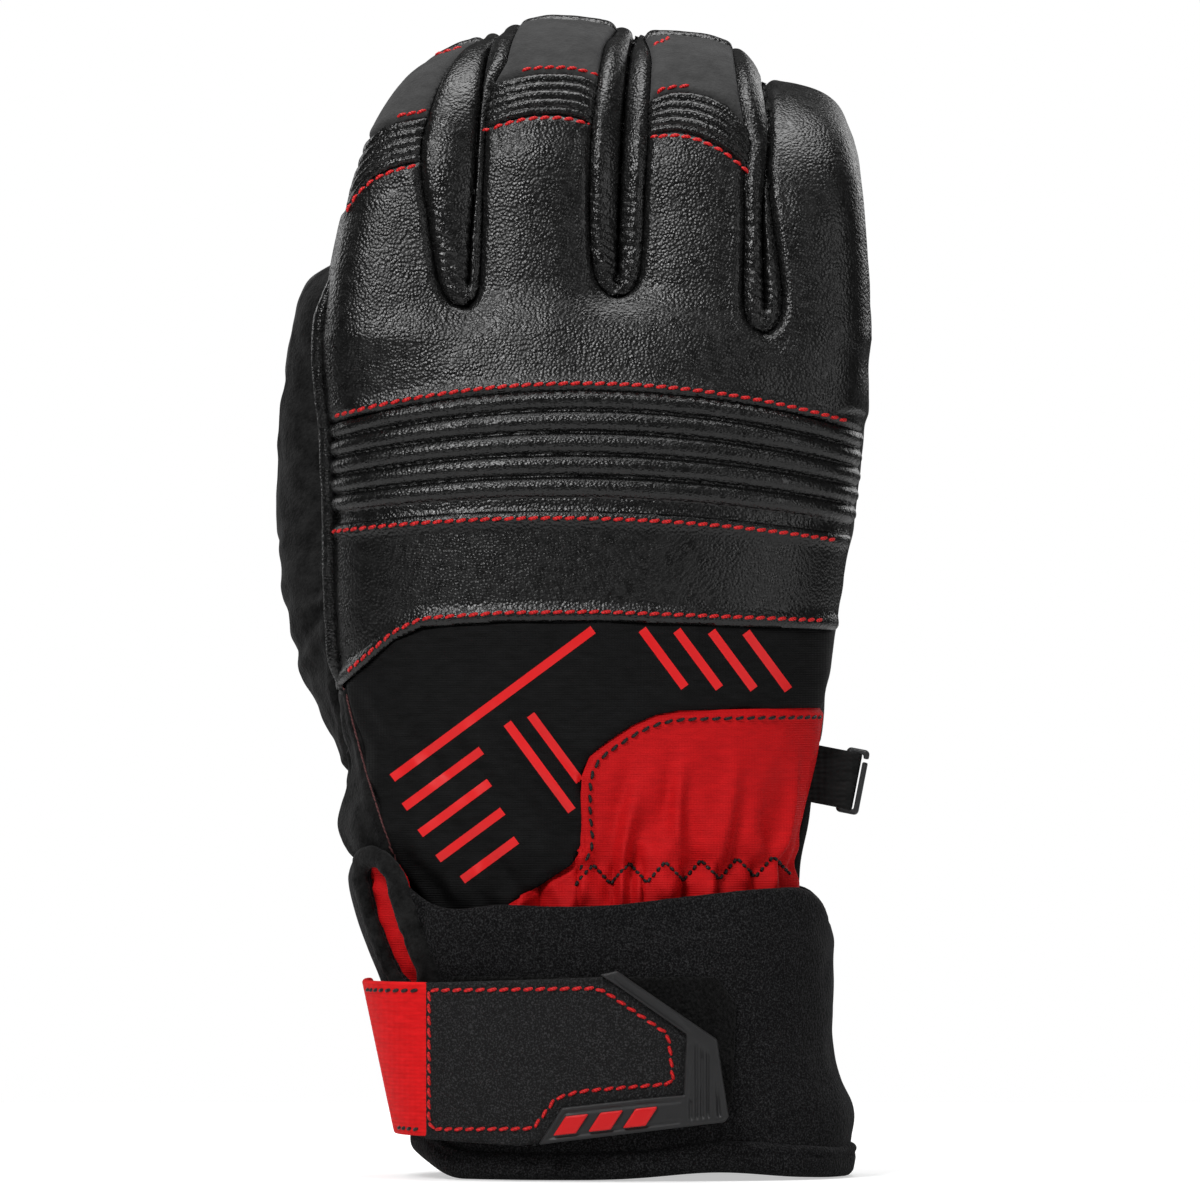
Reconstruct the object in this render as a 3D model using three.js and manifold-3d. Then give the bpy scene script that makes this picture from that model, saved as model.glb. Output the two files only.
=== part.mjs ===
// Right-hand ski glove with four fingers and a thumb, standing on its cuff with the back of the hand facing -Y.
// Millimetres, +Z up. The shell is a set of panels cut along their seams from one hollow hand form. Inside it lie
// an insulation layer and a fleece lining, and the hand goes in through the cuff. Each fingertip, the thumb tip,
// the wrist strap and the link hook are separate moving groups.
import * as THREE from "three";
import { mergeVertices } from "three/addons/utils/BufferGeometryUtils.js";
import Module from "manifold-3d";

const wasm = await Module();
wasm.setup();

// ---- Driving dimensions -------------------------------------------------------------------------------------------

const SEAM_GAP = 0.34; // between neighbouring panels
const LAYER_GAP = 0.3; // between nested layers
const SHELL = 1.5; // leather and shell fabric
const LINING = 4.2; // insulation quilted to its fleece
const LINING_IN = SHELL + LAYER_GAP;
const HOLLOW_IN = LINING_IN + LINING;

const HAND_SEGMENTS = 22;
const FINGER_SEGMENTS = 10;
const SIDE_SEAM_Y = -3; // where the back of the hand meets the palm

// The hand from the wrist to the finger roots. Each row: height, left edge, right edge, front-back half depth.
const HAND = [
  [51, -43.6, 41.6, 26.4],
  [63, -47.0, 41.0, 26.6],
  [73, -53.0, 42.8, 27.2],
  [92, -55.4, 46.6, 27.6],
  [118, -57.2, 49.8, 27.4],
  [145, -58.0, 53.2, 26.6],
  [165, -58.6, 55.8, 24.8],
  [180, -58.2, 57.6, 21],
  [187, -56.6, 57.2, 17.5],
  [190.5, -52.0, 53.0, 13],
];
const HAND_ROUNDNESS = 2.4; // superellipse exponent
const WRIST_SEAM_Z = 92; // under the palm, where the leather ends
const PALM_PATCH = [[-26, 100], [8, 98], [30, 106], [38, 124], [38, 152], [20, 158], [-4, 158], [-16, 132]];

// The cuff, a wide neoprene sleeve. Its rows read as the hand's do.
const CUFF = [
  [0, -39.6, 53.4, 34],
  [9, -39.2, 53.4, 34],
  [21, -41.4, 50.4, 34],
  [38, -45.4, 48.9, 34],
  [50, -49.9, 48.9, 34],
  [60, -52.8, 47.6, 33.4],
  [70, -54.2, 46.0, 32.6],
];
const CUFF_ROUNDNESS = 2.4;
const CUFF_WALL = 2.6;
const CUFF_SEGMENTS = 24;
const HEM_HEIGHT = 8.6;
const HEM_PROUD = 1.1;

// Fingers: root centre, lateral drift of the tip, half width and half depth at the root, height where the bend
// starts, straight length past the bend, and height of the joint. slim is the tip's width as a share of the root's.
// The bend turns from BEND_START to BEND_END degrees off vertical.
const FINGERS = {
  index: { x: -43.2, y: -3.5, drift: 11, a: 14.0, b: 13.4, slim: 0.77, bendZ: 211, straight: 9, joint: 216.2 },
  middle: { x: -13.0, y: -4.0, drift: 6, a: 15.0, b: 13.8, slim: 0.86, bendZ: 214.5, straight: 11, joint: 224 },
  ring: { x: 20.2, y: -4.0, drift: -0.7, a: 15.0, b: 13.6, slim: 0.82, bendZ: 212, straight: 10, joint: 222 },
  little: { x: 46.2, y: -2.5, drift: -3, a: 12.2, b: 12.4, slim: 0.85, bendZ: 199.5, straight: 7, joint: 207.5 },
};
const FINGER_BURIED = 12; // length of finger tube inside the hand
const BEND_START = 6;
const BEND_END = 76;
const BEND_RADIUS = 24;
const FLEX_DEG = 35;
const EXTEND_DEG = 8;
const SPARE_DEG = 2; // what a joint's notch opens past its range

// Thumb: centreline points with half widths, from inside the hand to the centre of its round tip.
const THUMB = [
  [-32, 2, 86, 15],
  [-44, 13, 108, 15.8],
  [-51.2, 25, 130, 15.6],
  [-53.2, 33, 150, 15],
  [-52.8, 36, 169, 14.2],
  [-51.2, 36, 184.5, 13.4],
];
const THUMB_JOINT_Z = 149;
const THUMB_AXIS = new THREE.Vector3(-0.26, 0.966, 0).normalize();
const THUMB_FLEX_DEG = 20;
const THUMB_EXTEND_DEG = 10;

const RIB_LENGTH = 7; // of a finger's rib panel beyond its joint
const TIP_REACH = 70; // past a joint, beyond the end of any digit
const THUMB_SPLIT_Y = 35;

// The keyhole in the cuff, on the thumb side: centre, size, and turn of its axis from the front towards the left.
const KEYHOLE = { x: -48.5, y: -17, z: 53, width: 8, height: 23, rim: 4.2, turn: 58 };

// The strap: a red webbing that folds round the thumb side, a tab, and a rubber badge at its end.
const STRAP = [
  [5, -43.4, 57.6, 39],
  [46, -52.1, 55.6, 39],
];
const STRAP_ROUNDNESS = 2.8;
const STRAP_THICK = 1.6;
const STRAP_HINGE = { x: -52.4, y: -12 };
const STRAP_ANCHOR_Y = 12;
const WEBBING = [[-80, 10], [-37.9, 9.2], [-37.9, 42.4], [-80, 42.4]];
const STRAP_TAB = [[-37.5, 8.6], [-17, 7.5], [20, 12.4], [20, 31], [0, 43.7], [-37.5, 42.5]];
const HOOK_PATCH = [[-30, 12], [-16, 11], [12, 15], [12, 28], [-4, 38], [-30, 38]];
const BADGE = [
  [0, 44.2], [3.6, 45], [24.9, 30.4], [27.4, 14], [26.5, 12.8], [-8.6, 8.6], [-17, 7.4], [-13, 8.2],
  [-8.1, 15.9], [8.6, 17.8], [17.8, 18.6], [18.4, 31.5], [4.9, 41],
];
const BADGE_BARS = [
  [[-9.4, 9.4], [-6.6, 14.4], [-2.4, 14.9], [-5.2, 9.9]],
  [[-3.2, 10.1], [-0.4, 15.1], [3.8, 15.6], [1, 10.6]],
  [[3, 10.8], [5.8, 15.8], [10, 16.3], [7.2, 11.3]],
];
const LOOP_PATCH = [[-32, 12], [33, 12], [33, 44], [-32, 44]];

// The link tab: a webbing loop sewn into the side seam and the plastic hook it holds, tilted down outwards.
const LINK = { at: [46.9, 0, 86.4], tilt: 11, x: 0, reach: 6.2, half: 2.4, thick: 0.9, width: 12.4 };
const HOOK = { outer: [5.2, 11, -7.6, 7.6], hole: [7.2, 9.4, -6.5, 6.5], thick: 2.2 };

// ---- Geometry helpers ---------------------------------------------------------------------------------------------

// A closed three.js geometry as a solid.
function solid(geometry) {
  const bare = geometry.index ? geometry.toNonIndexed() : geometry.clone();
  const placed = new THREE.BufferGeometry().setAttribute("position", bare.getAttribute("position"));
  const merged = mergeVertices(placed, 1e-4);
  return new wasm.Manifold(
    new wasm.Mesh({
      numProp: 3,
      vertProperties: merged.attributes.position.array,
      triVerts: new Uint32Array(merged.index.array),
    }),
  );
}

// A solid as a three.js geometry.
function geometryOf(made) {
  const mesh = made.getMesh();
  const points = new Float32Array(mesh.numVert * 3);
  for (let i = 0; i < mesh.numVert; i++) {
    points.set(mesh.vertProperties.subarray(i * mesh.numProp, i * mesh.numProp + 3), i * 3);
  }
  const geometry = new THREE.BufferGeometry();
  geometry.setAttribute("position", new THREE.BufferAttribute(points, 3));
  geometry.setIndex(new THREE.BufferAttribute(mesh.triVerts, 1));
  geometry.computeVertexNormals();
  return geometry;
}

// A closed skin over rings of equal length: walls between the rings and a fan over each end.
function skin(rings) {
  const count = rings[0].length;
  const points = rings.flat();
  const index = [];
  for (let r = 0; r + 1 < rings.length; r++) {
    for (let i = 0; i < count; i++) {
      const a = r * count + i;
      const b = r * count + ((i + 1) % count);
      index.push(a, b, b + count, a, b + count, a + count);
    }
  }
  [rings[0], rings.at(-1)].forEach((ring, end) => {
    const centre = ring.reduce((sum, p) => sum.add(p), new THREE.Vector3()).divideScalar(count);
    points.push(centre);
    const start = end ? (rings.length - 1) * count : 0;
    for (let i = 0; i < count; i++) {
      const a = start + i;
      const b = start + ((i + 1) % count);
      index.push(points.length - 1, end ? a : b, end ? b : a);
    }
  });
  const geometry = new THREE.BufferGeometry().setFromPoints(points);
  geometry.setIndex(index);
  return geometry;
}

// A horizontal superellipse ring, counterclockwise seen from above.
function ellipseRing([z, left, right, depth], inset, roundness, segments) {
  const a = (right - left) / 2 - inset;
  const b = depth - inset;
  return Array.from({ length: segments }, (_, i) => {
    const t = (i / segments) * 2 * Math.PI;
    const c = Math.cos(t);
    const s = Math.sin(t);
    const x = (left + right) / 2 + a * Math.sign(c) * Math.abs(c) ** (2 / roundness);
    const y = b * Math.sign(s) * Math.abs(s) ** (2 / roundness);
    return new THREE.Vector3(x, y, z);
  });
}

// A prism whose outline is given in X and Z, running from y0 to y1.
function prism(outline, y0, y1) {
  const shape = new THREE.Shape(outline.map(([x, z]) => new THREE.Vector2(x, z)));
  const geometry = new THREE.ExtrudeGeometry(shape, { depth: y1 - y0, bevelEnabled: false });
  return solid(geometry.rotateX(Math.PI / 2).translate(0, y1, 0));
}

function box(x0, x1, y0, y1, z0, z1) {
  const geometry = new THREE.BoxGeometry(x1 - x0, y1 - y0, z1 - z0);
  return solid(geometry.translate((x0 + x1) / 2, (y0 + y1) / 2, (z0 + z1) / 2));
}

const SWAP_X_Y = [0, 1, 0, 0, 1, 0, 0, 0, 0, 0, 1, 0, 0, 0, 0, 1]; // column order
// A thin upright knife along a line of [x, z] points, used to cut a seam.
function knife(line, y0, y1, width = SEAM_GAP) {
  const side = (sign) =>
    line.map(([x, z], i) => {
      const [px, pz] = line[Math.max(i - 1, 0)];
      const [nx, nz] = line[Math.min(i + 1, line.length - 1)];
      const length = Math.hypot(nx - px, nz - pz);
      return [x - (sign * width * (nz - pz)) / 2 / length, z + (sign * width * (nx - px)) / 2 / length];
    });
  return prism([...side(-1), ...side(1).reverse()], y0, y1);
}

// The one of several loose bodies that passes through a probe box.
function bodyAt(bodies, ...probe) {
  const marker = box(...probe);
  const found = bodies.filter((b) => b.intersect(marker).volume() > 0);
  if (found.length !== 1) throw new Error(`${found.length} bodies at probe ${probe}`);
  return found[0];
}

const union = (solids) => solids.reduce((sum, s) => sum.add(s));
const cut = (from, ...tools) => tools.reduce((rest, t) => rest.subtract(t), from);
const degrees = (d) => (d * Math.PI) / 180;

// A seam's points from a formula z(x).
const seamLine = (z) => [-75, -50, -25, 0, 25, 50, 75].map((x) => [x, z(x)]);

// A closed [x, z] outline moved outwards, away from its centre.
function grown(outline, by) {
  const cx = outline.reduce((sum, [x]) => sum + x, 0) / outline.length;
  const cz = outline.reduce((sum, [, z]) => sum + z, 0) / outline.length;
  return outline.map(([x, z]) => {
    const reach = Math.hypot(x - cx, z - cz);
    return [x + (by * (x - cx)) / reach, z + (by * (z - cz)) / reach];
  });
}

// ---- Forms --------------------------------------------------------------------------------------------------------

// The hand at an inset. Its crown moves down by the inset, and an inner form reaches lower, so layers are open there.
function handForm(inset) {
  const last = HAND.length - 1;
  const rows = HAND.map(([z, left, right, depth], i) => {
    const down = i === 0 ? Math.max(inset, 0) * 3 : i >= last - 1 ? inset : 0;
    return [z - down, left, right, depth];
  });
  return solid(skin(rows.map((row) => ellipseRing(row, inset, HAND_ROUNDNESS, HAND_SEGMENTS))));
}

// Position, forward direction and back-of-finger normal of a finger at length s from its root level.
function fingerStation(finger, s) {
  const start = degrees(BEND_START);
  const end = degrees(BEND_END);
  const rise = (finger.bendZ - FINGER_ROOT_Z) / Math.cos(start);
  const bend = THREE.MathUtils.clamp((s - rise) / BEND_RADIUS, 0, end - start);
  const before = Math.min(s, rise);
  const after = Math.max(s - rise - BEND_RADIUS * (end - start), 0);
  const angle = start + bend;
  const y = finger.y + before * Math.sin(start) + BEND_RADIUS * (Math.cos(start) - Math.cos(angle));
  const z = FINGER_ROOT_Z + before * Math.cos(start) + BEND_RADIUS * (Math.sin(angle) - Math.sin(start));
  const share = Math.max(s, 0) / fingerLength(finger);
  return {
    at: new THREE.Vector3(
      finger.x + finger.drift * share * share,
      y + after * Math.sin(angle),
      z + after * Math.cos(angle),
    ),
    along: new THREE.Vector3(0, Math.sin(angle), Math.cos(angle)),
    back: new THREE.Vector3(0, -Math.cos(angle), Math.sin(angle)),
    slim: 1 - (1 - finger.slim) * Math.min(share * 1.25, 1),
  };
}
const FINGER_ROOT_Z = 180;

// Length of a finger's centreline from its root level to the centre of its round tip.
function fingerLength(finger) {
  const rise = (finger.bendZ - FINGER_ROOT_Z) / Math.cos(degrees(BEND_START));
  return rise + BEND_RADIUS * degrees(BEND_END - BEND_START) + finger.straight;
}

// Where along its length a finger's joint lies: on the centreline, at the joint's height.
function jointLength(finger) {
  let s = 0;
  while (fingerStation(finger, s).at.z < finger.joint) s += 0.1;
  return s;
}

// A ring around a finger; past its length the rings shrink over the round tip.
function fingerRing(finger, s, inset) {
  const length = fingerLength(finger);
  const { at, along, back, slim } = fingerStation(finger, Math.min(s, length));
  const radius = finger.b * slim - inset;
  const past = Math.min(Math.max(s - length, 0) / radius, 1);
  const dome = Math.max(Math.sqrt(1 - past * past), 0.16);
  const centre = at.clone().addScaledVector(along, past * radius);
  const a = (finger.a * slim - inset) * dome;
  const b = radius * dome;
  return Array.from({ length: FINGER_SEGMENTS }, (_, i) => {
    const t = (i / FINGER_SEGMENTS) * 2 * Math.PI;
    return centre.clone().addScaledVector(back, b * Math.cos(t)).add(new THREE.Vector3(a * Math.sin(t), 0, 0));
  });
}

// A whole finger tube between two lengths.
function fingerTube(finger, from, to, inset, steps) {
  const lengths = Array.from({ length: steps + 1 }, (_, i) => from + ((to - from) * i) / steps);
  return solid(skin(lengths.map((s) => fingerRing(finger, s, inset))));
}

const DOME_STEPS = [0.45, 0.82, 1];

// A finger tube from a given length to its round tip.
function fingerTip(finger, from, inset) {
  const length = fingerLength(finger);
  const radius = finger.b * finger.slim - inset;
  const lengths = [0, 1, 2, 3].map((i) => from + ((length - from) * i) / 3);
  DOME_STEPS.forEach((d) => lengths.push(length + d * radius));
  return solid(skin(lengths.map((s) => fingerRing(finger, s, inset))));
}

// The thumb follows a smooth curve through its points.
const THUMB_CURVE = new THREE.CatmullRomCurve3(THUMB.map(([x, y, z]) => new THREE.Vector3(x, y, z)));
const THUMB_FRAMES = THUMB_CURVE.computeFrenetFrames(60, false);

function thumbRing(u, past, inset) {
  const slot = Math.round(u * 60);
  const row = u * (THUMB.length - 1);
  const k = Math.min(Math.floor(row), THUMB.length - 2);
  const width = THREE.MathUtils.lerp(THUMB[k][3], THUMB[k + 1][3], row - k) - inset;
  const dome = Math.max(Math.sqrt(1 - past * past), 0.16);
  const centre = THUMB_CURVE.getPoint(u).addScaledVector(THUMB_FRAMES.tangents[slot], past * width);
  return Array.from({ length: FINGER_SEGMENTS }, (_, i) => {
    const t = (i / FINGER_SEGMENTS) * 2 * Math.PI;
    return centre
      .clone()
      .addScaledVector(THUMB_FRAMES.normals[slot], width * dome * Math.cos(t))
      .addScaledVector(THUMB_FRAMES.binormals[slot], width * dome * Math.sin(t));
  });
}

function thumbForm(inset) {
  const rings = [0, 0.25, 0.5, 0.75, 1].map((u) => thumbRing(u, 0, inset));
  DOME_STEPS.forEach((d) => rings.push(thumbRing(1, d, inset)));
  return solid(skin(rings));
}

function cuffForm(inset) {
  const rows = CUFF.map(([z, left, right, depth], i) => {
    const beyond = i === 0 ? -4 : i === CUFF.length - 1 ? 4 : 0;
    return [z + (inset > 0 ? beyond : 0), left, right, depth];
  });
  return solid(skin(rows.map((row) => ellipseRing(row, inset, CUFF_ROUNDNESS, CUFF_SEGMENTS))));
}

// ---- Joints -------------------------------------------------------------------------------------------------------

// A large block in a hinge's own directions, from one distance along the digit to another.
function blockAt({ at, along, across }, from, to) {
  const block = new THREE.BoxGeometry(60, 60, to - from).translate(0, 0, (from + to) / 2);
  const back = new THREE.Vector3().crossVectors(along, across).normalize();
  return solid(block.applyMatrix4(new THREE.Matrix4().makeBasis(across, back, along).setPosition(at)));
}

// A wedge behind the hinge plane, on one side of the hinge axis, opening by the given angle towards the root.
function wedgeAt({ at, along, across }, angle, side) {
  const reach = 40;
  const opening = degrees(angle);
  const outline = [
    [-side * 0.5, 0],
    [side * reach, 0],
    [side * reach * Math.cos(opening), -reach * Math.sin(opening)],
    [0, -0.7],
  ];
  const shape = new THREE.Shape(outline.map(([u, v]) => new THREE.Vector2(u, v)));
  const wedge = new THREE.ExtrudeGeometry(shape, { depth: 50, bevelEnabled: false }).translate(0, 0, -25);
  const back = new THREE.Vector3().crossVectors(along, across).normalize();
  const basis = new THREE.Matrix4().makeBasis(back, along, new THREE.Vector3().crossVectors(back, along));
  return solid(wedge.applyMatrix4(basis.setPosition(at)));
}

// The height at which a finger's centreline meets its joint, found by stepping along it.
function fingerHinge(finger) {
  let s = 0;
  while (fingerStation(finger, s).at.z < finger.joint) s += 0.1;
  const { at, along } = fingerStation(finger, s);
  return { s, at, along, across: new THREE.Vector3(-1, 0, 0) };
}

function thumbHinge() {
  let u = 0;
  while (THUMB_CURVE.getPoint(u).z < THUMB_JOINT_Z) u += 0.005;
  const along = THUMB_CURVE.getTangent(u);
  const across = THUMB_AXIS.clone().addScaledVector(along, -THUMB_AXIS.dot(along)).normalize();
  return { at: THUMB_CURVE.getPoint(u), along, across };
}

const fingerNames = Object.keys(FINGERS);
const hinges = Object.fromEntries(fingerNames.map((name) => [name, fingerHinge(FINGERS[name])]));
hinges.thumb = thumbHinge();

// What a fixed digit root loses, so that its tip can flex and extend. The tools stay within the digit's own surface.
function rootTool(hinge, flex, extend, surface) {
  const tools = [
    blockAt(hinge, -SEAM_GAP, TIP_REACH),
    wedgeAt(hinge, flex + SPARE_DEG, -1),
    wedgeAt(hinge, extend + SPARE_DEG, 1),
  ];
  return union(tools).intersect(surface);
}

// ---- Shell, insulation and lining of the hand ---------------------------------------------------------------------

const digitTools = fingerNames.map((name) => {
  const deeper = { ...FINGERS[name], b: FINGERS[name].b + 3 };
  const around = fingerTube(deeper, hinges[name].s - 14, hinges[name].s + 12, -0.5, 6);
  return rootTool(hinges[name], FLEX_DEG, EXTEND_DEG, around);
});
digitTools.push(rootTool(hinges.thumb, THUMB_FLEX_DEG, THUMB_EXTEND_DEG, thumbForm(-0.5)));

// The hand with the digit roots, at an inset from the outer surface.
function fixedForm(inset) {
  const roots = fingerNames.map((name) => {
    const finger = FINGERS[name];
    return fingerTube(finger, inset - FINGER_BURIED, hinges[name].s + 4 + inset, inset, 3);
  });
  return union([handForm(inset), ...roots, thumbForm(inset)]);
}

function fixedLayer(outer, inner, floor) {
  const layer = fixedForm(outer).subtract(fixedForm(inner));
  return cut(layer, ...digitTools, box(-90, 90, -60, 80, 20, floor));
}

const shell = fixedLayer(0, SHELL, 51.2);

// Front panels: the shell's back-of-hand side is cut along every seam, and each loose body is a panel.
const FRONT = [-70, SIDE_SEAM_Y];
const RIBBED_TOP = seamLine((x) => 168.6 - 0.00244 * (x + 4) ** 2);
const RIBBED_BOTTOM = seamLine((x) => 142.9 - 0.00127 * (x + 10) ** 2);
const BAND_HEM = [[-75, 88], [-54.7, 106.1], [-44, 115.3], [-34, 118.6], [-21, 119.2], [0, 119.4], [75, 116.5]];
const GATHER_EDGE = [
  [75, 100.8], [31, 100.6], [17, 100.3], [9.6, 98.6], [4.3, 95], [-1.7, 91.3],
  [-3.9, 86.4], [-4.1, 79], [-3.4, 71.4], [-6.2, 67.3], [-13.3, 62.6], [-19.3, 59], [-30, 40],
];
const FABRIC_LEFT = [[-54.7, 106.1], [-53.2, 98.2], [-50, 86.5], [-46.1, 74.6], [-41.8, 63.9], [-34, 40]];

// The side seam runs up the edge of the hand, then leans back with the fingers.
function sideSeamSheet() {
  const lean = Math.tan(degrees(BEND_START + 6));
  const line = [
    [SIDE_SEAM_Y, 20],
    [SIDE_SEAM_Y, 176],
    [SIDE_SEAM_Y + 70 * lean, 246],
  ];
  return knife(line, -90, 90, SEAM_GAP).transform(SWAP_X_Y);
}

// A wall strip let in between two fingers: an upright slot with a round foot.
const VALLEYS = {
  index_middle: { x: -28.8, z: 184.5, lean: 0.1 },
  middle_ring: { x: 3.6, z: 186, lean: 0.02 },
  ring_little: { x: 34.6, z: 180, lean: -0.06 },
};
const VALLEY_HALF = 5.2;
const VALLEY_BACK = 6;

function valley({ x, z, lean }, grow) {
  const half = VALLEY_HALF + grow;
  const foot = Array.from({ length: 5 }, (_, i) => {
    const t = Math.PI * (1 + i / 4);
    return [x + half * Math.cos(t), z + VALLEY_HALF + half * Math.sin(t)];
  });
  const outline = [...foot, [x + half + lean * 60, z + 60], [x - half + lean * 60, z + 60]];
  return prism(outline, -70, VALLEY_BACK + grow);
}

const walls = Object.values(VALLEYS);
const seams = [RIBBED_TOP, RIBBED_BOTTOM, BAND_HEM, GATHER_EDGE, FABRIC_LEFT].map((line) => knife(line, ...FRONT));
const thumbOutside = thumbForm(-SEAM_GAP).subtract(handForm(0));
const wristLine = box(-90, 90, SIDE_SEAM_Y, 90, WRIST_SEAM_Z, WRIST_SEAM_Z + SEAM_GAP);
const patchArea = prism(PALM_PATCH, 0, 90);
const patchSeam = prism(grown(PALM_PATCH, SEAM_GAP), 0, 90).subtract(patchArea);
const openShell = cut(shell, ...walls.map((w) => valley(w, SEAM_GAP)), sideSeamSheet());
const panels = cut(openShell, ...seams, thumbOutside, wristLine, patchSeam)
  .decompose()
  .filter((panel) => panel.volume() > 1);
const panelAt = (...probe) => bodyAt(panels, ...probe);

const group = new THREE.Group();
const body = new THREE.Group(); // everything, before it is centred on its footprint
group.add(body);

const finishes = {
  leather: { color: 0x1c1c1d, roughness: 0.42 },
  nubuck: { color: 0x3c3c3d, roughness: 0.9 },
  suede: { color: 0x191919, roughness: 0.95 },
  shellFabric: { color: 0x0c0c0d, roughness: 0.8 },
  redFabric: { color: 0xa81315, roughness: 0.75 },
  neoprene: { color: 0x1a1a1b, roughness: 0.95 },
  redWebbing: { color: 0xcb1b1f, roughness: 0.6 },
  microfibre: { color: 0x232323, roughness: 0.95 },
  rubber: { color: 0x2d2d2e, roughness: 0.55 },
  hookLoop: { color: 0x101010, roughness: 1 },
  plastic: { color: 0x4a4b4c, roughness: 0.5 },
  fleece: { color: 0x2a2b2d, roughness: 1 },
};
const materials = Object.fromEntries(
  Object.entries(finishes).map(([name, f]) => [name, new THREE.MeshStandardMaterial({ ...f, metalness: 0 })]),
);

function add(name, made, finish) {
  const mesh = new THREE.Mesh(geometryOf(made), materials[finish]);
  mesh.name = name;
  body.add(mesh);
}

add("hand_back_leather", panelAt(-16, -10, -35, -15, 172, 178), "leather");
add("knuckle_rib_panel", panelAt(-2, 2, -40, -20, 154, 158), "leather");
add("lower_back_leather", panelAt(-2, 2, -40, -20, 128, 132), "leather");
add("back_fabric_panel", panelAt(-30, -26, -40, -15, 96, 100), "shellFabric");
add("wrist_gather_panel", panelAt(18, 22, -40, -15, 80, 84), "redFabric");
add("wrist_side_panel", panelAt(-58, -52, -10, -5, 82, 85), "suede");
add("wrist_underside", panelAt(-2, 2, 20, 40, 70, 74), "shellFabric");
add("palm_leather", panelAt(-4, 4, 10, 30, 176, 180), "nubuck");
add("palm_patch", panelAt(0, 4, 20, 40, 120, 124), "nubuck");
for (const [name, w] of Object.entries(VALLEYS)) {
  const wall = shell.intersect(valley(w, 0)).decompose();
  add(`finger_wall_${name}`, bodyAt(wall, w.x - 1.5, w.x + 1.5, -26, -5, w.z, w.z + 7), "leather");
}
const thumbRoot = shell.intersect(thumbForm(-0.1)).subtract(handForm(-SEAM_GAP)).decompose();
add("thumb_base", bodyAt(thumbRoot, -56, -46, 36, 60, 128, 132), "suede");

add("insulated_lining", fixedLayer(LINING_IN, HOLLOW_IN, 60), "fleece");

// ---- Moving digit tips --------------------------------------------------------------------------------------------

// The part of a layered tip beyond its hinge plane.
const beyondHinge = (form, hinge) => form.intersect(blockAt(hinge, 0, TIP_REACH));

// Splits a finger tip into the half over the back of the finger and the half under it.
function backAndUnder(made, finger, s) {
  const sheet = (offset) => {
    const line = [s - 6, s, s + 6, s + 12, s + 18, s + 24, s + 60].map((at) => {
      const station = fingerStation(finger, Math.min(at, fingerLength(finger)));
      const past = Math.max(at - fingerLength(finger), 0);
      return station.at.clone().addScaledVector(station.along, past).addScaledVector(station.back, offset);
    });
    return line.map((point) => [point.y, point.z]);
  };
  const wide = (offset) => [...sheet(0), ...sheet(offset).reverse()];
  const upper = prism(wide(40), -90, 90).transform(SWAP_X_Y);
  const seam = knife(sheet(0), -90, 90).transform(SWAP_X_Y);
  return [made.subtract(seam).intersect(upper), made.subtract(seam).subtract(upper)];
}

for (const name of fingerNames) {
  const finger = FINGERS[name];
  const hinge = hinges[name];
  const from = hinge.s - 3;
  const cap = fingerTip(finger, from, 0).subtract(fingerTip(finger, from, SHELL));
  const [back, under] = backAndUnder(beyondHinge(cap, hinge), finger, hinge.s);
  const seamAt = fingerStation(finger, hinge.s + RIB_LENGTH);
  const seamHinge = { ...hinge, at: seamAt.at, along: seamAt.along };
  if (name === "little") {
    add("little_back", back, "leather");
  } else {
    add(`${name}_ribs`, back.subtract(blockAt(seamHinge, 0, TIP_REACH)), "leather");
    add(`${name}_tip`, back.intersect(blockAt(seamHinge, SEAM_GAP, TIP_REACH)), "nubuck");
  }
  add(`${name}_under`, under, "nubuck");
  const liner = fingerTip(finger, from, LINING_IN).subtract(fingerTip(finger, from, HOLLOW_IN));
  add(`${name}_liner`, beyondHinge(liner, hinge), "fleece");
}

const thumbCap = beyondHinge(thumbForm(0).subtract(thumbForm(SHELL)), hinges.thumb);
const thumbSplit = box(-90, 0, THUMB_SPLIT_Y, THUMB_SPLIT_Y + SEAM_GAP, 130, 210);
const thumbHalves = cut(thumbCap, thumbSplit).decompose();
add("thumb_tip_back", bodyAt(thumbHalves, -56, -50, 10, 26, 165, 168), "suede");
add("thumb_tip_pad", bodyAt(thumbHalves, -56, -50, 45, 62, 165, 168), "nubuck");
const thumbLiner = thumbForm(LINING_IN).subtract(thumbForm(HOLLOW_IN));
add("thumb_liner", beyondHinge(thumbLiner, hinges.thumb), "fleece");

// ---- Cuff ---------------------------------------------------------------------------------------------------------

// A curved plate with a front outline in X and Z, lying between two insets of a form.
const plate = (outline, form, outer, inner, y0 = -90, y1 = -6) =>
  form(outer).subtract(form(inner)).intersect(prism(outline, y0, y1));

// An oval seen from the front left, as a prism along that direction through the cuff's side.
function keyholePrism(grow) {
  const shape = new THREE.Shape();
  const half = KEYHOLE.width / 2 + grow;
  const straight = (KEYHOLE.height - KEYHOLE.width) / 2;
  shape.absarc(0, straight, half, 0, Math.PI);
  shape.absarc(0, -straight, half, Math.PI, 2 * Math.PI);
  const tool = new THREE.ExtrudeGeometry(shape, { depth: 30, bevelEnabled: false, curveSegments: 4 });
  tool.rotateX(Math.PI / 2).translate(0, 15, 0).rotateZ(-degrees(KEYHOLE.turn));
  return solid(tool.translate(KEYHOLE.x, KEYHOLE.y, KEYHOLE.z));
}

const cuffTop = [[-80, 68], [-47, 68], [-41, 61.5], [80, 61.5]];
const cuffBody = [[80, HEM_HEIGHT], [-80, HEM_HEIGHT], ...cuffTop].reverse();
const sleeve = cuffForm(0).subtract(cuffForm(CUFF_WALL)).intersect(prism(cuffBody, -90, 90));
add("cuff_sleeve", sleeve.subtract(keyholePrism(0)), "neoprene");

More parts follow.
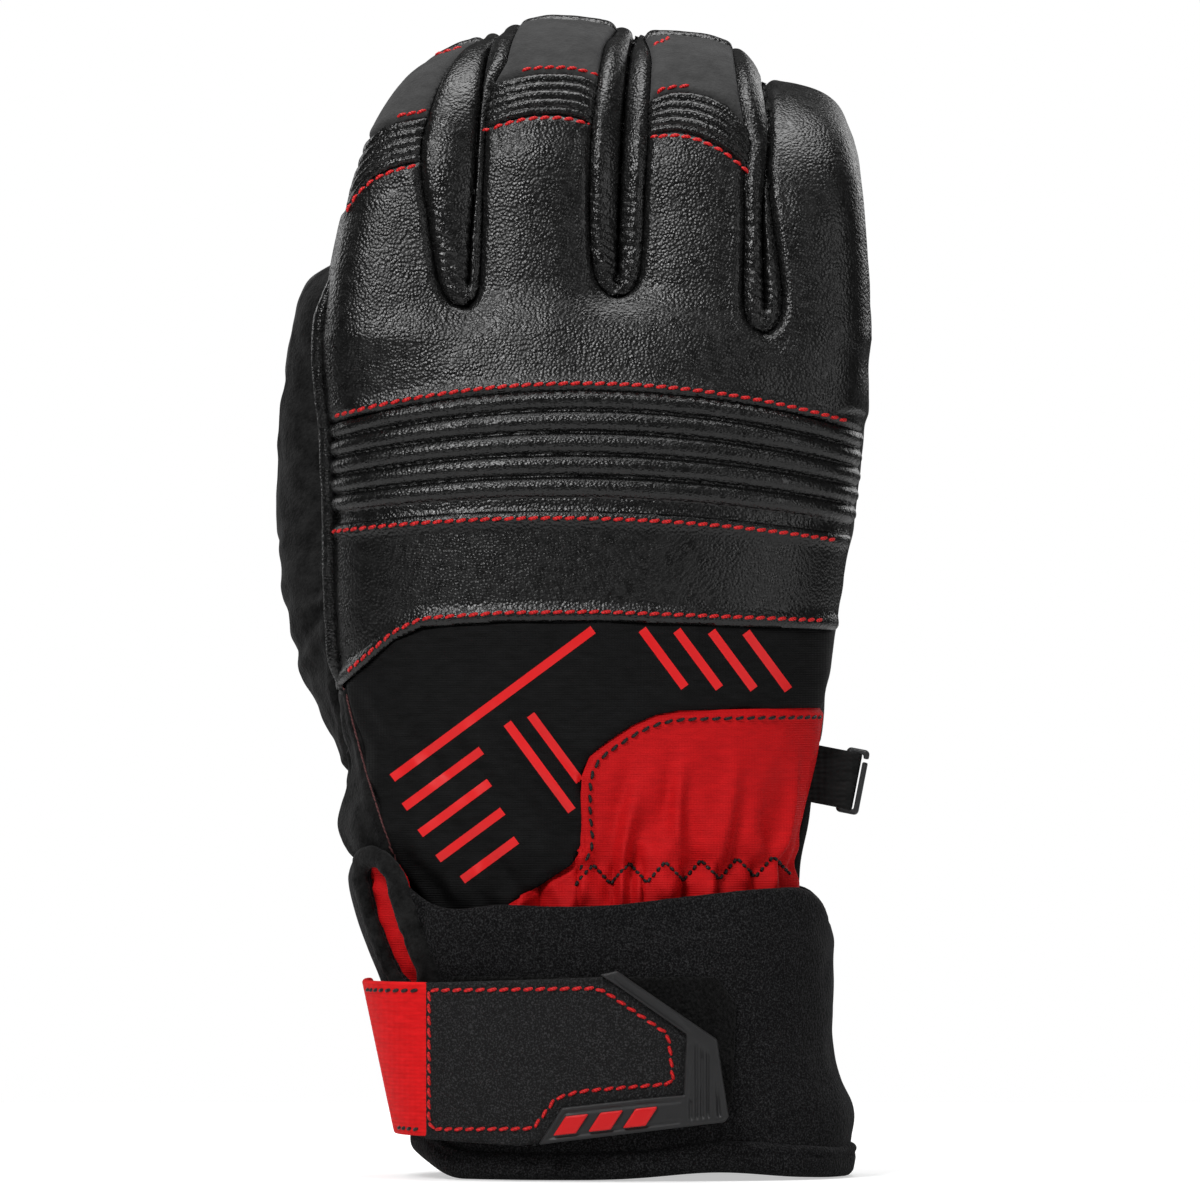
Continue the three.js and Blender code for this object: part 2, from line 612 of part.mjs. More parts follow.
const hemRing = box(-90, 90, -90, 90, 0, HEM_HEIGHT - SEAM_GAP);
add("cuff_hem", cuffForm(-HEM_PROUD).subtract(cuffForm(CUFF_WALL + 0.4)).intersect(hemRing), "neoprene");

const KEYHOLE_SIDE = box(-90, -30, -60, 20, 20, 80);
const rim = keyholePrism(KEYHOLE.rim).subtract(keyholePrism(0.4));
add("keyhole_binding", cuffForm(-1.6).subtract(cuffForm(-0.3)).intersect(rim).intersect(KEYHOLE_SIDE), "suede");
const gusset = cuffForm(CUFF_WALL + 0.2).subtract(cuffForm(CUFF_WALL + 1));
add("keyhole_gusset", gusset.intersect(keyholePrism(1.5)).intersect(KEYHOLE_SIDE), "redFabric");

const elastic = cuffForm(CUFF_WALL + 0.3).subtract(handForm(-0.3)).intersect(box(-38, 90, -90, 90, 53, 58));
add("wrist_elastic", elastic.decompose().sort((a, b) => b.volume() - a.volume())[0], "fleece");

add("loop_patch", plate(LOOP_PATCH, cuffForm, -1.2, -0.2), "hookLoop");

// ---- Strap --------------------------------------------------------------------------------------------------------

// The strap's own form: it stands off the cuff at the left, where the webbing folds round.
function strapForm(inset) {
  return solid(skin(STRAP.map((row) => ellipseRing(row, inset, STRAP_ROUNDNESS, CUFF_SEGMENTS))));
}

const webbing = prism(WEBBING, -90, 20);
const band = strapForm(0).subtract(strapForm(STRAP_THICK)).intersect(webbing);
const anchorSide = box(-90, 0, STRAP_HINGE.y + 0.5, STRAP_ANCHOR_Y, 0, 60);
const strapSide = box(-90, 0, -90, STRAP_HINGE.y - 0.5, 0, 60);
add("strap_anchor", band.intersect(anchorSide), "redWebbing");
add("strap_webbing", band.intersect(strapSide), "redWebbing");
add("strap_tab", plate(STRAP_TAB, strapForm, 0, STRAP_THICK), "microfibre");
add("strap_hook_patch", plate(HOOK_PATCH, strapForm, STRAP_THICK + 0.1, STRAP_THICK + 1), "hookLoop");
add("strap_badge", plate(BADGE, strapForm, -2, -0.2), "rubber");
BADGE_BARS.forEach((bar, i) => add(`badge_bar_${i + 1}`, plate(bar, strapForm, -2.8, -2.1), "rubber"));

// ---- Link tab at the little-finger side ---------------------------------------------------------------------------

// A loop of webbing seen from above: a flat U whose round end holds the hook's inner bar.
function linkLoop() {
  const { x, reach, half, thick, width } = LINK;
  const shape = new THREE.Shape();
  shape.moveTo(x, -half).lineTo(x + reach, -half);
  shape.absarc(x + reach, 0, half, -Math.PI / 2, Math.PI / 2).lineTo(x, half);
  shape.lineTo(x, half - thick);
  shape.absarc(x + reach, 0, half - thick, Math.PI / 2, -Math.PI / 2, true).lineTo(x, thick - half);
  const loop = new THREE.ExtrudeGeometry(shape, { depth: width, bevelEnabled: false, curveSegments: 4 });
  return solid(loop.translate(0, 0, -width / 2));
}

// A flat rectangular hook of plastic around the loop's end.
function linkHook() {
  const { outer, hole, thick } = HOOK;
  const frame = box(outer[0], outer[1], -thick / 2, thick / 2, outer[2], outer[3]);
  return frame.subtract(box(hole[0], hole[1], -thick, thick, hole[2], hole[3]));
}

const hang = (made) => made.rotate([0, LINK.tilt, 0]).translate([LINK.at[0], LINK.at[1], LINK.at[2]]);
add("link_loop", hang(linkLoop()), "hookLoop");
add("link_hook", hang(linkHook()), "plastic");

// The footprint is centred on the origin.
body.updateMatrixWorld(true);
const size = new THREE.Box3().setFromObject(body);
const shift = new THREE.Vector3(-(size.min.x + size.max.x) / 2, -(size.min.y + size.max.y) / 2, -size.min.z);
body.children.forEach((mesh) => mesh.geometry.translate(shift.x, shift.y, shift.z));

export default group;
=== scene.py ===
"""A right-hand ski glove standing on its cuff, with the back of the hand towards -Y.

Lengths are glove millimetres: x from the thumb side to the little finger, y from the back of the hand to
the palm, z up from the cuff's edge. world() turns them into the frame's metres. The padded hand is one
surface, worked out from a distance function, cut along its seams into leather and fabric panels, and then
puffed, ribbed, rolled and wrinkled panel by panel. The cuff, strap and small parts are distance functions of
their own.
"""

import math

import bpy
import numpy as np
import openvdb
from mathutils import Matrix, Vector
from mathutils.bvhtree import BVHTree
from mathutils.kdtree import KDTree

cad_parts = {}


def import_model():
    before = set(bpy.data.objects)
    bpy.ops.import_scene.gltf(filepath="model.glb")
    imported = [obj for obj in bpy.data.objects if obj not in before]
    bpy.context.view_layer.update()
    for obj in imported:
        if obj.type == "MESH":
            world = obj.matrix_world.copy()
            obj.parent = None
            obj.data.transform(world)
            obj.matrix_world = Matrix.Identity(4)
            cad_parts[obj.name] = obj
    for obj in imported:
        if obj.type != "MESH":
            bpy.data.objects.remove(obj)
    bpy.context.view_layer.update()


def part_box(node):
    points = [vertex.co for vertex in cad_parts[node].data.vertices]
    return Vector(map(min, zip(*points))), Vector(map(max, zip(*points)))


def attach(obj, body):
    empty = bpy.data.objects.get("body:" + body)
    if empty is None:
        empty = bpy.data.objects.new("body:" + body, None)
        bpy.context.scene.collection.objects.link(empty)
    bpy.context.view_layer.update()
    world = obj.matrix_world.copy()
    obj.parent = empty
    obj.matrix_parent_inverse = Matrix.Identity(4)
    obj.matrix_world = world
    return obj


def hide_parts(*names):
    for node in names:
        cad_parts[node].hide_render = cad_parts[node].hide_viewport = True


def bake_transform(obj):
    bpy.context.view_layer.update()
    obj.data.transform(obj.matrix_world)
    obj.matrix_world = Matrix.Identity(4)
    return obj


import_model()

HEM_CENTRE_X = 6.9  # the cuff hem's middle in glove millimetres, which places the glove in the frame
hem_low, hem_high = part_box("cuff_hem")
SHIFT = np.array([(hem_low.x + hem_high.x) * 500 - HEM_CENTRE_X, (hem_low.y + hem_high.y) * 500, 0.0])


def world(points):
    return (np.asarray(points, float) + SHIFT) / 1000


# ---- Camera --------------------------------------------------------------------------------------------

VIEW_HEIGHT = 257.3  # of the glove's plane in the picture
VIEW_CENTRE = (0.0, -12.0, 123.9)
CAMERA_DISTANCE = 3500.0
SENSOR = 36.0

camera_data = bpy.data.cameras.new("camera")
camera = bpy.data.objects.new("camera", camera_data)
bpy.context.scene.collection.objects.link(camera)
camera_data.sensor_width = SENSOR
camera_data.lens = SENSOR * CAMERA_DISTANCE / VIEW_HEIGHT
camera.location = world((VIEW_CENTRE[0], VIEW_CENTRE[1] - CAMERA_DISTANCE, VIEW_CENTRE[2]))
camera.rotation_euler = (math.pi / 2, 0, 0)
bpy.context.scene.camera = camera

# ---- Forms ---------------------------------------------------------------------------------------------

# The hand from the wrist to the finger roots: height, left edge, right edge, front-back half depth.
HAND = [
    (51, -43.6, 41.6, 26.4), (62, -47.0, 42.0, 26.6), (66, -49.6, 42.6, 26.8), (70, -54.2, 43.4, 27.0),
    (74.5, -56.2, 44.2, 27.2), (80, -55.6, 45.2, 27.4), (88, -53.4, 46.4, 27.6), (98, -55.0, 47.6, 27.6),
    (118, -57.2, 50.6, 27.4), (145, -58.0, 55.0, 26.6), (162, -58.6, 56.6, 24.8), (180, -58.4, 57.4, 21),
    (200, -57, 57, 14),
]
HAND_ROUNDNESS = 2.4
CROWN = [
    (-70, 176), (-45, 184), (-29, 187.5), (-13, 188.5), (3.6, 189.5), (20, 186), (34.6, 181.5), (50, 176),
    (66, 168),
]
CROWN_SOFT = 8.0

# Fingers: root centre, lateral drift of the tip, half width and half depth at the root, height where the bend
# starts, straight length past the bend, and height of the joint. slim is the tip's width as a share of the
# root's.
FINGERS = {
    "index": dict(
        x=-43.7, y=-3.5, drift=16.2, a=16.2, b=13.4, slim=0.71, bend_z=211, straight=9, joint=216.2,
),
    "middle": dict(x=-13.0, y=-4.0, drift=6, a=15.0, b=13.8, slim=0.86, bend_z=214.5, straight=11, joint=224),
    "ring": dict(x=20.2, y=-4.0, drift=-0.7, a=15.0, b=13.6, slim=0.82, bend_z=212, straight=10, joint=222),
    "little": dict(
        x=46.0, y=-2.5, drift=-2.4, a=12.2, b=12.4, slim=0.86, bend_z=201, straight=7, joint=207.5,
),
}
NAMES = list(FINGERS)
ROOT_Z = 180.0
BEND_START = math.radians(6)
BEND_END = math.radians(76)
BEND_RADIUS = 24.0
FINGER_ROUNDNESS = 2.25
BURIED = 14.0
CLEFT_HALF = 0.2  # half the gap between neighbouring fingers
CLEFT_FILL = 6.8  # how far padding swells into a cleft
CLEFT_REACH = 10.0
FINGER_MELT = 0.8
HAND_MELT = 5.0
THUMB_MELT = 5.0

# The thumb's centreline from its root to its tip, each point with its radius.
THUMB = [
    (-34, 2, 86, 15.4), (-47, 13, 108, 16), (-53.6, 25, 130, 15.8), (-55.0, 33, 150, 15),
    (-54.6, 36, 169, 14.2), (-52.8, 36, 184.5, 13.6),
]
THUMB_SPLIT_Y = 35.0


def smooth_curve(points, dense_steps=400):
    """A smooth function of the points' first column, held constant past the ends."""
    points = np.asarray(points, float)
    t, v = points[:, 0], points[:, 1:]
    slope = np.gradient(v, t, axis=0)
    dense = np.linspace(t[0], t[-1], dense_steps)
    i = np.clip(np.searchsorted(t, dense) - 1, 0, len(t) - 2)
    h = (t[i + 1] - t[i])[:, None]
    w = (dense - t[i])[:, None] / h
    rows = (1 + 2 * w) * (1 - w) ** 2 * v[i] + w * (1 - w) ** 2 * h * slope[i]
    rows += w * w * (3 - 2 * w) * v[i + 1] + w * w * (w - 1) * h * slope[i + 1]
    return lambda q: [np.interp(q, dense, column) for column in rows.T]


def smoothstep(low, high, q):
    t = np.clip((q - low) / (high - low), 0, 1)
    return t * t * (3 - 2 * t)


def smooth_min(a, b, k):
    h = np.clip(0.5 + 0.5 * (b - a) / k, 0, 1)
    return b + (a - b) * h - k * h * (1 - h)


def bump(q, width):
    return np.exp(-((q / width) ** 2))


def superellipse(terms, roundness):
    """First-order signed distance from a superellipse, given each axis's (offset, half width)."""
    shares = [np.abs(offset) / half + 1e-6 for offset, half in terms]
    f = sum(share**roundness for share in shares) ** (1 / roundness)
    slope = np.sqrt(sum((share ** (roundness - 1) / half) ** 2 for share, (_, half) in zip(shares, terms)))
    return (f - 1) / np.maximum(slope * f ** (1 - roundness), 0.02)


hand_rows = smooth_curve(HAND)
crown_height = smooth_curve(CROWN)


def hand_distance(p):
    left, right, depth = hand_rows(p[:, 2])
    side = superellipse(
        [(p[:, 0] - (left + right) / 2, (right - left) / 2), (p[:, 1], depth)], HAND_ROUNDNESS,
)
    return -smooth_min(-side, crown_height(p[:, 0])[0] - p[:, 2], CROWN_SOFT)


class Finger:
    """A tube along a straight, an arc towards the palm and a straight, ending in a dome."""

    def __init__(self, x, y, drift, a, b, slim, bend_z, straight, joint):
        self.x, self.drift, self.a, self.b, self.slim = x, drift, a, b, slim
        self.root = np.array([y, ROOT_Z])
        self.rise = (bend_z - ROOT_Z) / math.cos(BEND_START)
        self.arc = BEND_RADIUS * (BEND_END - BEND_START)
        self.length = self.rise + self.arc + straight
        self.along = [np.array([math.sin(t), math.cos(t)]) for t in (BEND_START, BEND_END)]
        self.back = [np.array([-math.cos(t), math.sin(t)]) for t in (BEND_START, BEND_END)]
        self.hub = self.root + self.rise * self.along[0] - BEND_RADIUS * self.back[0]
        lengths = np.arange(0, self.length, 0.1)
        self.joint = lengths[np.searchsorted(self.spine(lengths)[:, 2], joint)]

    def spine(self, s):
        """Points on the centreline at lengths s from the root."""
        turn = BEND_START + np.clip((s - self.rise) / BEND_RADIUS, 0, BEND_END - BEND_START)
        before, after = np.minimum(s, self.rise), np.maximum(s - self.rise - self.arc, 0)
        y = self.root[0] + before * math.sin(BEND_START) + after * np.sin(turn)
        z = self.root[1] + before * math.cos(BEND_START) + after * np.cos(turn)
        y += BEND_RADIUS * (math.cos(BEND_START) - np.cos(turn))
        z += BEND_RADIUS * (np.sin(turn) - math.sin(BEND_START))
        return np.stack([self.x + self.drift * (np.maximum(s, 0) / self.length) ** 2, y, z], -1)

    def coordinates(self, p):
        """Length along the finger, offset to the side, and offset towards the back of the finger."""
        rel = p[:, 1:] - self.hub
        turn = np.arctan2(rel @ self.along[0], rel @ self.back[0])
        bend = BEND_END - BEND_START
        s = self.rise + BEND_RADIUS * turn
        v = np.hypot(rel[:, 0], rel[:, 1]) - BEND_RADIUS
        low, high = turn < 0, turn > bend
        s = np.where(low, self.rise + rel @ self.along[0], s)
        v = np.where(low, rel @ self.back[0] - BEND_RADIUS, v)
        s = np.where(high, self.rise + self.arc + rel @ self.along[1], s)
        v = np.where(high, rel @ self.back[1] - BEND_RADIUS, v)
        share = np.clip(s / self.length, 0, 1)
        return s, p[:, 0] - self.x - self.drift * share**2, v

    def thickness(self, s):
        return 1 - (1 - self.slim) * np.clip(1.25 * s / self.length, 0, 1)

    def distance(self, p):
        s, u, v = self.coordinates(p)
        slim = self.thickness(s)
        terms = [(u, self.a * slim), (v, self.b * slim), (np.maximum(s - self.length, 0), self.b * slim)]
        return superellipse(terms, FINGER_ROUNDNESS)

    def angle(self, p):
        """Length along the finger, and degrees round it from the middle of its back, right positive."""
        s, u, v = self.coordinates(p)
        return s, np.degrees(np.arctan2(u / self.a, v / self.b))


fingers = {name: Finger(**row) for name, row in FINGERS.items()}


def finger_distances(p):
    """Distances from the four fingers, each held clear of its neighbours."""
    free = [fingers[name].distance(p) for name in NAMES]
    held = [d.copy() for d in free]
    for i, j in ((0, 1), (1, 2), (2, 3)):
        swell = CLEFT_FILL * bump(np.maximum(free[i] + free[j], 0), CLEFT_REACH)
        for a, b in ((i, j), (j, i)):
            held[a] = np.maximum(held[a] - swell, (free[a] - free[b]) / 2 + CLEFT_HALF)
    return free, held


thumb_path = smooth_curve([(i, *row) for i, row in enumerate(THUMB)])
thumb_knots = np.stack(thumb_path(np.linspace(0, len(THUMB) - 1, 13)), -1)


def thumb_distance(p):
    best = np.full(len(p), 99.0)
    near = p[:, 0] < 10
    q = p[near]
    found = best[near]
    for start, end in zip(thumb_knots[:-1], thumb_knots[1:]):
        step = end[:3] - start[:3]
        t = np.clip((q - start[:3]) @ step / (step @ step), 0, 1)
        reach = np.linalg.norm(q - start[:3] - t[:, None] * step, axis=1)
        found = np.minimum(found, reach - start[3] - t * (end[3] - start[3]))
    best[near] = found
    return best


def glove_distance(p):
    _, held = finger_distances(p)
    tubes = held[0]
    for d in held[1:]:
        tubes = smooth_min(tubes, d, FINGER_MELT)
    tubes = np.maximum(tubes + 0.18 * np.maximum(ROOT_Z - p[:, 2], 0), ROOT_Z - BURIED - p[:, 2])
    whole = smooth_min(tubes, hand_distance(p), HAND_MELT)
    return smooth_min(whole, thumb_distance(p), THUMB_MELT)


# ---- Surfaces from distance functions ------------------------------------------------------------------

BLOCK = 6


def surface(distance, low, high, cell):
    """Points and outward triangles of the zero surface, finely worked out only in the blocks near it."""
    low = np.asarray(low, float)
    span = cell * BLOCK
    counts = np.ceil((np.asarray(high) - low) / span).astype(int) + 1
    blocks = np.stack(np.meshgrid(*[np.arange(c) for c in counts], indexing="ij"), -1).reshape(-1, 3)
    coarse = distance(low + (blocks + 0.5 - 0.5 / BLOCK) * span)
    limit = 3 * cell
    grid = np.repeat(np.repeat(np.repeat(coarse.reshape(counts), BLOCK, 0), BLOCK, 1), BLOCK, 2)
    grid = np.clip(grid, -limit, limit).astype(np.float32)
    near = blocks[np.abs(coarse) < 1.5 * span]
    steps = np.stack(np.meshgrid(*[np.arange(BLOCK)] * 3, indexing="ij"), -1).reshape(-1, 3)
    for part in np.array_split(near, max(1, len(near) // 4000)):
        cells = (part[:, None] * BLOCK + steps).reshape(-1, 3)
        grid[tuple(cells.T)] = np.clip(distance(low + cells * cell), -limit, limit)
    field = openvdb.FloatGrid(float(limit))
    field.copyFromArray(np.ascontiguousarray(grid))
    points, triangles, quads = field.convertToPolygons(0.0, 0.0)
    faces = np.concatenate([triangles, quads[:, [0, 1, 2]], quads[:, [0, 2, 3]]]).astype(np.int64)
    points = low + points.astype(float) * cell
    return outward(points, faces)


def outward(points, faces):
    """Turns the faces over if the closed surface they make has a negative volume."""
    a, b, c = (points[faces[:, i]] for i in range(3))
    volume = np.einsum("ij,ij->i", a, np.cross(b, c)).sum()
    return points, faces if volume > 0 else faces[:, ::-1]


def vertex_normals(points, faces):
    a, b, c = (points[faces[:, i]] for i in range(3))
    flat = np.cross(b - a, c - a)
    total = np.stack([
        sum(np.bincount(faces[:, i], flat[:, k], len(points)) for i in range(3)) for k in range(3)
    ], -1)
    return total / np.maximum(np.linalg.norm(total, axis=1, keepdims=True), 1e-12)


def split(points, faces, values, where):
    """Adds points so that edges follow the line where the values change sign, inside the area given.

    Points close to the line are moved onto it along an edge, so that no thin faces come up.
    """

    def crosses(a, b):
        return (values[a] * values[b] < 0) & where[a] & where[b]

    sides = [(0, 1), (1, 2), (2, 0)]
    hit = np.stack([crosses(faces[:, i], faces[:, j]) for i, j in sides], -1)
    pairs = np.concatenate([faces[hit[:, k]][:, list(sides[k])] for k in range(3)])
    if not len(pairs):
        return points, faces
    pairs = np.unique(np.sort(pairs, axis=1), axis=0)
    points, values = points.copy(), values.copy()
    share = values[pairs[:, 0]] / (values[pairs[:, 0]] - values[pairs[:, 1]])
    spot = points[pairs[:, 0]] + share[:, None] * (points[pairs[:, 1]] - points[pairs[:, 0]])
    for end, close in ((0, share < 0.25), (1, share > 0.75)):
        moved = pairs[close, end]
        points[moved] = spot[close]
        values[moved] = 0
    hit = np.stack([crosses(faces[:, i], faces[:, j]) for i, j in sides], -1)
    pairs = pairs[crosses(pairs[:, 0], pairs[:, 1])]
    share = values[pairs[:, 0]] / (values[pairs[:, 0]] - values[pairs[:, 1]])
    spot = points[pairs[:, 0]] + share[:, None] * (points[pairs[:, 1]] - points[pairs[:, 0]])
    keys = pairs[:, 0] * len(points) + pairs[:, 1]
    count = len(points)

    def middle(a, b):
        return count + np.searchsorted(keys, np.minimum(a, b) * count + np.maximum(a, b))

    def turned(triangles, first):
        return np.take_along_axis(triangles, (first[:, None] + np.arange(3)) % 3, 1)

    hits = hit.sum(1)
    one, two = faces[hits == 1], faces[hits == 2]
    a, b, c = turned(one, hit[hits == 1].argmax(1)).T
    m = middle(a, b)
    made = [faces[hits == 0], np.stack([a, m, c], -1), np.stack([m, b, c], -1)]
    a, b, c = turned(two, (np.argmin(hit[hits == 2], 1) + 2) % 3).T
    m, n = middle(a, b), middle(c, a)
    made += [np.stack([a, m, n], -1), np.stack([m, b, c], -1), np.stack([m, c, n], -1)]
    return np.concatenate([points, spot]), np.concatenate(made)


def wobble(p, length, seed, count=12):
    """A smooth, repeatable unevenness between about -1 and 1 with waves of roughly the given length."""
    rng = np.random.default_rng(seed)
    waves = rng.normal(size=(count, 3))
    sizes = np.linalg.norm(waves, axis=1, keepdims=True)
    waves *= (2 * math.pi / length) * rng.uniform(0.6, 1.5, (count, 1)) / sizes
    return np.sin(p @ waves.T + rng.uniform(0, 6.3, count)).sum(1) / math.sqrt(count * 1.5)


def polygon_distance(outline, x, z):
    """Signed distance from a closed outline in the x-z plane, negative inside."""
    outline = np.asarray(outline, float)
    best = np.full(np.shape(x), 1e9)
    inside = np.zeros(np.shape(x), bool)
    for (ax, az), (bx, bz) in zip(outline, np.roll(outline, -1, 0)):
        ex, ez = bx - ax, bz - az
        t = np.clip(((x - ax) * ex + (z - az) * ez) / (ex * ex + ez * ez), 0, 1)
        best = np.minimum(best, np.hypot(x - ax - t * ex, z - az - t * ez))
        with np.errstate(divide="ignore", invalid="ignore"):
            side = ((az > z) != (bz > z)) & (x < ax + (z - az) * ex / (ez if ez else 1e-9))
        inside ^= side
    return np.where(inside, -best, best)


def rounded(outline):
    """A closed outline with its corners cut twice over."""
    for _ in range(2):
        line = np.asarray(outline, float)
        after = np.roll(line, -1, axis=0)
        outline = np.stack([0.75 * line + 0.25 * after, 0.25 * line + 0.75 * after], 1).reshape(-1, 2)
    return outline


# ---- Seams ---------------------------------------------------------------------------------------------

SIDE_SEAM_Y = -3.0
PALM_ANGLE = 125.0
WRIST_SEAM_Z = 92.0
OPEN_Z = 54.0  # the hand's lower edge, inside the cuff
BLEND_BEFORE, BLEND_AFTER = 2.0, 10.0  # where a finger starts and stops bending, either side of its joint
JOINTS_FROM = 190.0  # the finger joints and the finger ribs lie above these heights
RIBS_FROM = 198.0

# The lower band's hem as x and height, and the black fabric's left seam as height and x.
BAND_HEM = [(-75, 88), (-54.7, 106.1), (-44, 115.3), (-38, 118), (-21, 119.2), (0, 119.4), (75, 116.5)]
FABRIC_LEFT = [(40, -34), (63.9, -41.8), (74.6, -46.1), (86.5, -50), (98.2, -53.2), (108, -55.4), (120, -58)]
# The red gathered panel, drawn from its top right corner.
GATHER = [
    (75, 100.8), (31, 100.6), (17, 100.3), (12, 99.4), (7, 97.2), (1.5, 93.6), (-2.2, 90.6), (-3.9, 86.4),
    (-4.1, 79), (-3.4, 71.4), (-6.2, 67.3), (-13.3, 62.6), (-19.3, 59), (-30, 40), (75, 40),
]
PALM_PATCH = rounded([(-20, 101), (8, 98), (30, 104), (40, 124), (40, 150), (22, 159), (-4, 159), (-12, 132)])

# The stitched edges of the finger ribs, seen from the front.
RIB_EDGES = {
    "index": (
        [
            (-62, 200), (-54.6, 208.2), (-52, 212.3), (-48.6, 215.2), (-44.3, 217.1), (-39.2, 218.2),
            (-28, 219),
],
        [(-58, 214), (-50, 223), (-46.4, 226), (-43.7, 226.8), (-37.3, 228), (-28, 228.6)],
    ),
    "middle": (
        [
            (-30, 223.6), (-24.9, 225.6), (-19.5, 227.4), (-14.6, 228.4), (-8.7, 228.5), (-4.6, 227.9),
            (-1.2, 226.2), (4, 223),
],
        [
            (-28, 233), (-22.7, 235.4), (-17, 236.8), (-12.8, 237.4), (-7.3, 237.4), (-3.7, 236.9),
            (0, 235.2), (5, 232),
],
    ),
    "ring": (
        [
            (4, 222.6), (10.5, 224.2), (16.2, 224.8), (20.8, 223.9), (25.9, 221.5), (29.6, 218.7),
            (31.9, 216.6), (37, 211),
],
        [
            (4, 229), (11.3, 231.9), (15.2, 233.3), (19.4, 233.4), (24, 232.3), (27.7, 230.1),
            (30.5, 227.2), (36, 221),
],
    ),
}
RIB_COUNT = 4
ZIGZAG_PITCH = 7.72
ZIGZAG_PEAK = 6.2

# Front seams of the wall strips on the two sides of each cleft, seen from the front, from the tip down to
# the foot.
STRIP_SEAMS = {
    ("index", 1): [
        (-33.4, 241.8), (-35.6, 237), (-37.1, 232), (-38.6, 222), (-38.3, 215), (-37.1, 208), (-35.9, 200),
        (-34.8, 193.4), (-33.4, 189.8), (-31.6, 187.8), (-29.6, 187.1),
],
    ("middle", -1): [
        (-20.2, 240.3), (-23.6, 234), (-24.9, 228), (-25.3, 217.4), (-25.6, 206), (-25.9, 196),
        (-26.3, 191), (-27.3, 188.4), (-29, 187.2),
],
    ("middle", 1): [
        (2.8, 246.3), (0.4, 240), (-1.2, 229.6), (-1.9, 217), (-1.9, 206), (-1.6, 198.3), (-0.9, 193.8),
        (0.6, 191), (2.4, 189.6), (3.6, 189.3),
],
    ("ring", -1): [
        (9.6, 245.9), (11, 240), (10.3, 227.5), (9.2, 211.4), (8.9, 200), (8.3, 194), (6.9, 191),
        (5.1, 189.6), (4, 189.3),
],
    ("ring", 1): [
        (30.2, 232), (31.5, 226), (32.4, 222.8), (31.9, 218.7), (31.1, 213.5), (31.2, 202.2), (31, 193),
        (31, 187.4), (31.8, 184), (33.2, 182.2), (34.8, 181.6),
],
    ("little", -1): [
        (32.4, 232), (33, 228.8), (34.7, 219.1), (36, 211), (37.9, 198.3), (38.9, 190), (38.8, 186),
        (37.9, 183.2), (36.6, 181.9), (35.2, 181.6),
],
}


def on_line(line, at):
    """The second coordinate of a line of points, where the first is the one given."""
    return np.interp(at, *zip(*line))


def ribbed_top(x):
    return 168.6 - 0.00244 * (x + 4) ** 2


def ribbed_bottom(x):
    return 142.9 - 0.00127 * (x + 10) ** 2


def band_hem(x):
    return on_line(BAND_HEM, x)


def fabric_left(z):
    return on_line(FABRIC_LEFT, z)


CELL = 0.56
points, faces = surface(glove_distance, (-74, -34, 50), (66, 56, 256), CELL)
centres = points[faces].mean(1)
faces = faces[centres[:, 2] > OPEN_Z]
base_tree = BVHTree.FromPolygons(points.tolist(), faces.tolist())


def strip_angle(finger, side, seam):
    """The angle round a finger at which a front seam runs, by length, with no strip below the seam's foot."""
    found = []
    for x, z in seam:
        hit = base_tree.ray_cast(Vector((x, -90, z)), Vector((0, 1, 0)))[0]
        if hit is not None:
            s, angle = fingers[finger].angle(np.array([hit]))
            found.append((s[0], abs(angle[0])))
    found.sort()
    foot = found[0][0]
    lengths, angles = zip((foot - 1, 180.0), *found)
    return lambda s: side * np.interp(s, lengths, angles)


strip_angles = {key: strip_angle(*key, seam) for key, seam in STRIP_SEAMS.items()}


class Place:
    """Where points lie on the glove."""

    def __init__(self, p):
        self.x, self.y, self.z = p.T
        free, held = finger_distances(p)
        self.free = np.array(free)
        self.owner = np.argmin(self.free, 0)
        found = [fingers[name].angle(p) for name in NAMES]
        self.s = np.choose(self.owner, [s for s, _ in found])
        self.angle = np.choose(self.owner, [angle for _, angle in found])
        depth = np.choose(self.owner, [fingers[name].coordinates(p)[2] for name in NAMES])
        mix = smoothstep(172, 188, self.z)
        self.palmward = (1 - mix) * (self.y - SIDE_SEAM_Y) - mix * depth
        tubes = np.maximum(np.min(held, 0), ROOT_Z - BURIED - self.z)
        self.thumb = np.minimum(tubes, hand_distance(p)) - thumb_distance(p)

    def on(self, name):
        return self.owner == NAMES.index(name)

    def free_side(self):
        """On a side with no neighbour: the index finger's left or the little finger's right."""
        return (self.on("index") & (self.angle < 0)) | (self.on("little") & (self.angle > 0))

    def past_joint(self, name):
        """On the part of a finger that bends."""
        return self.on(name) & (self.s > fingers[name].joint - BLEND_BEFORE) & (self.z > JOINTS_FROM)

    def strip(self, name, side):
        """Positive inside the wall strip on that side of the finger, at its front seam."""
        return side * (self.angle - strip_angles[name, side](self.s))


